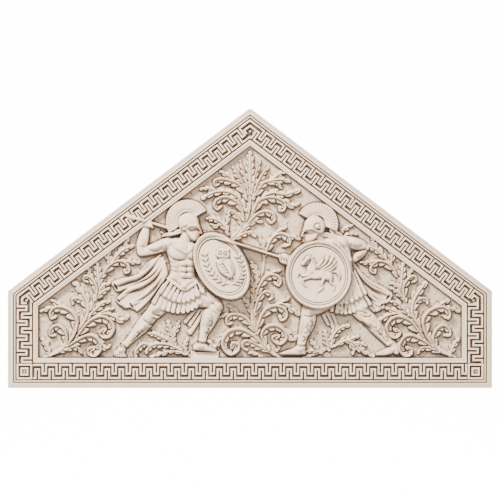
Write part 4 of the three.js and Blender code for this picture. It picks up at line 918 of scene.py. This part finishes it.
# ---- The field as meshes, in strips that share their edge points ----
STRIPS = [("left_foliage", -FIELD_SIDE - 1, -112), ("left_warrior", -112, -36), ("shields_and_centre", -36, 36),
          ("right_warrior", 36, 112), ("right_foliage", 112, FIELD_SIDE + 1)]
OVERLAP = 0.006         # how far the field reaches in under the border
depth = GROUND + relief * MODULE
slope_v, slope_u = np.gradient(depth, CELL * MODULE)
keep = inside_of(np.array(outline(BORDER - OVERLAP)) / MODULE, uu, vv)
cell = keep[:-1, :-1] & keep[1:, :-1] & keep[:-1, 1:] & keep[1:, 1:]
for name, low, high in STRIPS:
    rows, cols = np.nonzero(cell & (uu[:-1, :-1] >= low) & (uu[:-1, :-1] < high))
    corner = rows * COLUMNS + cols
    quads = np.stack([corner, corner + 1, corner + COLUMNS + 1, corner + COLUMNS], 1)
    used, index = np.unique(quads, return_inverse=True)
    index = index.reshape(quads.shape)
    r, c = np.divmod(used, COLUMNS)
    points = np.stack([across[c] * MODULE, -depth[r, c], upward[r] * MODULE - HEIGHT / 2], 1)
    normal = np.stack([-slope_u[r, c], -np.ones(len(r)), -slope_v[r, c]], 1)
    normal /= np.linalg.norm(normal, axis=1, keepdims=True)
    add_mesh(name, points.tolist(), index.tolist(), painted_shades[r, c], normal)

# ---- Slab and border ----
# the border's section: distance in from the outline, height over the ground, and how dark it is: painted shade in the
# grooves and at the foot of the steps, a faint even darkening on the flats
SECTION = [
    (0.0, 0.031, 0.05), (0.002, 0.0335, 0.04), (0.0105, 0.0335, 0.05), (0.0112, 0.030, 0.5), (0.0125, 0.0345, 0.04),
    (0.0250, 0.0355, 0.03), (0.0264, 0.034, 0.03), (0.0268, 0.026, 1.0), (0.0318, 0.026, 1.0), (0.0322, 0.034, 0),
    (0.034, 0.037, 0), (0.0372, 0.037, 0), (0.0384, 0.034, 0), (0.0388, 0.026, 1.0), (0.0438, 0.024, 1.0),
    (0.1222, 0.024, 1.0), (0.1270, 0.026, 1.0), (0.1275, 0.033, 0.03), (0.129, 0.035, 0.02), (0.1385, 0.034, 0.03),
    (0.1400, 0.0312, 0.4), (0.1425, 0.0312, 0.04), (0.1485, 0.030, 0.05), (0.150, 0.027, 0.1), (0.1505, -0.002, 0.9),
]
points, shades, faces = [], [], []
for by, rise, shade in [(0.0, -GROUND, 0.05), *SECTION]:
    for k, (x, z) in enumerate(outline(by)):
        if k == 3:
            # the top is a short flat where the outline's point would pass the panel's height
            half = APEX / 2 if z > HEIGHT else 1e-5
            points += [(half, -GROUND - rise, min(z, HEIGHT)), (-half, -GROUND - rise, min(z, HEIGHT))]
        else:
            points.append((x, -GROUND - rise, z))
    shades += [shade] * 6
for i in range(len(SECTION)):
    for k in range(6):
        a, b = 6 * i + k, 6 * i + (k + 1) % 6
        faces.append((a, b, b + 6, a + 6))
last = 6 * len(SECTION)
faces += [tuple(last + k for k in range(6)), tuple(range(5, -1, -1))]
points = [(x, y, z - HEIGHT / 2) for x, y, z in points]
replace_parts(add_mesh("panel_and_border", points, faces, shades), "pediment_panel")

# ---- Key pattern ----
# a ribbon's section: place across its half width, depth, and how dark it is: painted shade at its foot and down its
# walls
RIB = [
    (-1, KEY_FLOOR - 0.001, 1.0), (-1, GROUND + 0.030, 0.35), (-0.97, GROUND + 0.0335, 0), (-0.72, GROUND + 0.036, 0),
    (0.72, GROUND + 0.036, 0), (0.97, GROUND + 0.0335, 0), (1, GROUND + 0.030, 0.35), (1, KEY_FLOOR - 0.001, 1.0),
]
INSET = 0.0015          # from the band's edges to the outer ribbons
LEVELS = [RIBBON / 2 + INSET + k * (KEY_WIDTH - RIBBON - 2 * INSET) / 3 for k in range(4)]
UNEVEN = 0.00035        # how far the points of a ribbon stray
BOSS = 0.008            # width of a square stud
RING_STEP = 0.019       # between the two square rings of a corner
key_points, key_faces, key_shades = [], [], []


def sides(path, reach):
    """Points at a distance left of a path, mitred at its turns."""
    out = []
    for i, (x, z) in enumerate(path):
        ax, az = path[i - 1] if i else (2 * x - path[1][0], 2 * z - path[1][1])
        bx, bz = path[i + 1] if i + 1 < len(path) else (2 * x - ax, 2 * z - az)
        first, second = math.atan2(z - az, x - ax), math.atan2(bz - z, bx - x)
        bend = math.atan2(math.sin(second - first), math.cos(second - first)) / 2
        shift, turn = reach / math.cos(bend), first + bend
        out.append((x - math.sin(turn) * shift, z + math.cos(turn) * shift))
    return out


def ribbon(path, width=RIBBON):
    """One ribbon of the pattern, cut a little unevenly."""
    first, n = len(key_points), len(RIB)
    rows = [sides(path, -share * width / 2) for share, _, _ in RIB]
    for i in range(len(path)):
        for row, (_, d, shade) in zip(rows, RIB):
            wobble = rng.normal(0, UNEVEN, 2)
            key_points.append((row[i][0] + wobble[0], -d, row[i][1] + wobble[1] - HEIGHT / 2))
            key_shades.append(shade)
    for i in range(len(path) - 1):
        for k in range(n - 1):
            a = first + i * n + k
            key_faces.append((a, a + n, a + n + 1, a + 1))
    key_faces.append(tuple(first + k for k in range(n)))
    key_faces.append(tuple(first + (len(path) - 1) * n + k for k in range(n - 1, -1, -1)))


def keys(a, b, period=PERIOD, width=RIBBON):
    """A run of two locked ribbons, its outer edge on the line from a to b."""
    angle, length = math.atan2(b[1] - a[1], b[0] - a[0]), math.dist(a, b)
    count = max(1, round(length / period))
    step = length / count / 8
    lower, upper = [(0, LEVELS[0])], [(0, LEVELS[3])]
    for k in range(count):
        s = 8 * k * step
        for path, offset, edge, turn in ((lower, 1.5, LEVELS[0], LEVELS[2]), (upper, 5.5, LEVELS[3], LEVELS[1])):
            near, far = s + offset * step, s + (offset + 2) * step
            path += [(near, edge), (near, turn), (far, turn), (far, edge)]
    lower.append((length, LEVELS[0]))
    upper.append((length, LEVELS[3]))
    c, s = math.cos(angle), math.sin(angle)
    for path in (lower, upper):
        ribbon([(a[0] + p * c - q * s, a[1] + p * s + q * c) for p, q in path], width)


def on_edge(k, other):
    """The foot of the band's inner corner k on its outer edge towards another corner."""
    angle = math.atan2(outer[other][1] - outer[k][1], outer[other][0] - outer[k][0])
    c, s = math.cos(angle), math.sin(angle)
    reach = (inner[k][0] - outer[k][0]) * c + (inner[k][1] - outer[k][1]) * s
    return outer[k][0] + reach * c, outer[k][1] + reach * s


def boss(x, z):
    """A square stud."""
    ribbon([(x - BOSS / 2, z), (x + BOSS / 2, z)], BOSS)


outer, inner = outline(KEY_START), outline(KEY_START + KEY_WIDTH)
clear = KEY_WIDTH + 0.004
eaves = inner[2][1] - 0.002
keys((outer[0][0] + clear, KEY_START), (outer[1][0] - clear, KEY_START))
keys((outer[1][0], KEY_START + clear), (outer[1][0], eaves))
keys((outer[4][0], eaves), (outer[0][0], KEY_START + clear))
for sign in (-1, 1):
    x, z = sign * (WIDTH / 2 - KEY_START - KEY_WIDTH / 2), KEY_START + KEY_WIDTH / 2
    for size in (KEY_WIDTH / 2 - RIBBON / 2, KEY_WIDTH / 2 - RIBBON / 2 - RING_STEP):
        ribbon([(x, z - size), (x + size, z - size), (x + size, z + size), (x - size, z + size),
                (x - size, z - size), (x, z - size)])
    boss(x, z)
for i, j in ((2, 3), (3, 4)):
    keys(on_edge(i, j), on_edge(j, i), RAKE_PERIOD, RAKE_RIBBON)
for k, neighbours in {2: (1, 3), 3: (2, 4), 4: (3, 0)}.items():
    def across_band(level, other):
        """Where a level of the pattern crosses the end of the corner's block."""
        x, z = on_edge(k, other)
        share = LEVELS[level] / KEY_WIDTH
        return x + (inner[k][0] - x) * share, z + (inner[k][1] - z) * share

    one, two = neighbours
    mitre = [outline(KEY_START + level)[k] for level in LEVELS]
    ribbon([across_band(0, one), mitre[0], across_band(0, two)])
    ribbon([across_band(2, one), across_band(1, one), mitre[1], across_band(1, two), across_band(2, two)])
    ribbon([across_band(3, one), mitre[3], across_band(3, two)])
    boss(*mitre[2])
add_mesh("key_pattern", key_points, key_faces, key_shades)

# ---- Head of the left warrior's spear, lying over the border: u, v and half width ----
SPEAR = [(-126.2, 173.2, 0.2), (-122, 171.9, 1.7), (-118, 170.7, 2.3), (-114.4, 169.7, 1.3), (-112.6, 169.2, 1.8),
         (-110, 168.6, 1.4), (-104, 166.8, 1.4)]
SPEAR_BACK, SPEAR_RISE = GROUND + 0.033, 0.016
points, faces = [], []
tilt = math.atan2(SPEAR[-1][1] - SPEAR[0][1], SPEAR[-1][0] - SPEAR[0][0])
for u, v, half in SPEAR:
    for k in range(8):
        turn = math.pi * k / 7
        off = half * math.cos(turn)
        points.append(((u - off * math.sin(tilt)) * MODULE, -SPEAR_BACK - SPEAR_RISE * math.sin(turn) * min(1, half),
                       (v + off * math.cos(tilt)) * MODULE - HEIGHT / 2))
for i in range(len(SPEAR) - 1):
    for k in range(8):
        a, b = 8 * i + k, 8 * i + (k + 1) % 8
        faces.append((a, a + 8, b + 8, b))
faces += [tuple(range(8)), tuple(range(8 * len(SPEAR) - 1, 8 * len(SPEAR) - 9, -1))]
# painted shade along both edges of the spearhead, where it lies on the border
add_mesh("spearhead", points, faces, [0.85, 0.1, 0, 0, 0, 0, 0.1, 0.85] * len(SPEAR))


# ---- Floor, backdrop, light and camera ----
def plane(name, size, at, turn, glow):
    """A white plane of the stage, which may glow."""
    bpy.ops.mesh.primitive_plane_add(size=size, location=at, rotation=turn)
    made = bpy.context.object
    made.name = name
    white = bpy.data.materials.new(name)
    white.use_nodes = True
    inputs = white.node_tree.nodes["Principled BSDF"].inputs
    inputs["Base Color"].default_value = (0.9, 0.9, 0.9, 1)
    inputs["Roughness"].default_value = 0.9
    inputs["Emission Color"].default_value = (1, 1, 1, 1)
    inputs["Emission Strength"].default_value = glow
    made.data.materials.append(white)


def area_light(name, at, size, power, colour):
    """A square light that faces the middle of the panel."""
    data = bpy.data.lights.new(name, "AREA")
    data.shape, data.size, data.energy, data.color = "SQUARE", size, power, colour
    made = bpy.data.objects.new(name, data)
    bpy.context.collection.objects.link(made)
    made.location = at
    made.rotation_euler = (-Vector(at)).to_track_quat("-Z", "Y").to_euler()


plane("backdrop", 7, (0, 13.6, 0), (math.pi / 2, 0, 0), 14.0)
plane("floor", 40, (0, -6.4, -3.0), (0, 0, 0), 0.0)
area_light("key_light", (-2.6, -4.0, 4.6), 1.5, 1750, (1, 0.97, 0.93))
area_light("fill_light", (1.6, -7.4, -1.0), 3.0, 310, (1, 0.98, 0.955))
world = bpy.data.worlds.new("studio")
bpy.context.scene.world = world
world.use_nodes = True
sky = world.node_tree.nodes["Background"].inputs
sky["Color"].default_value = (1, 0.99, 0.975, 1)
sky["Strength"].default_value = 0.52

SENSOR = 36
PICTURE_DEPTH = 0.1     # how far in front of the panel's back the picture is measured
CAMERA_DISTANCE = 12.0  # from there to the camera
PICTURE_WIDTH = 2.5     # what the picture spans there
PICTURE_MIDDLE = 0.690  # height of the picture's middle over the panel's lower edge
camera_data = bpy.data.cameras.new("camera")
camera_data.sensor_width = SENSOR
camera_data.lens = SENSOR * CAMERA_DISTANCE / PICTURE_WIDTH
camera_data.clip_end = 60
camera = bpy.data.objects.new("camera", camera_data)
bpy.context.collection.objects.link(camera)
camera.location = (0, -CAMERA_DISTANCE - PICTURE_DEPTH, PICTURE_MIDDLE - HEIGHT / 2)
camera.rotation_euler = (math.pi / 2, 0, 0)
bpy.context.scene.camera = camera
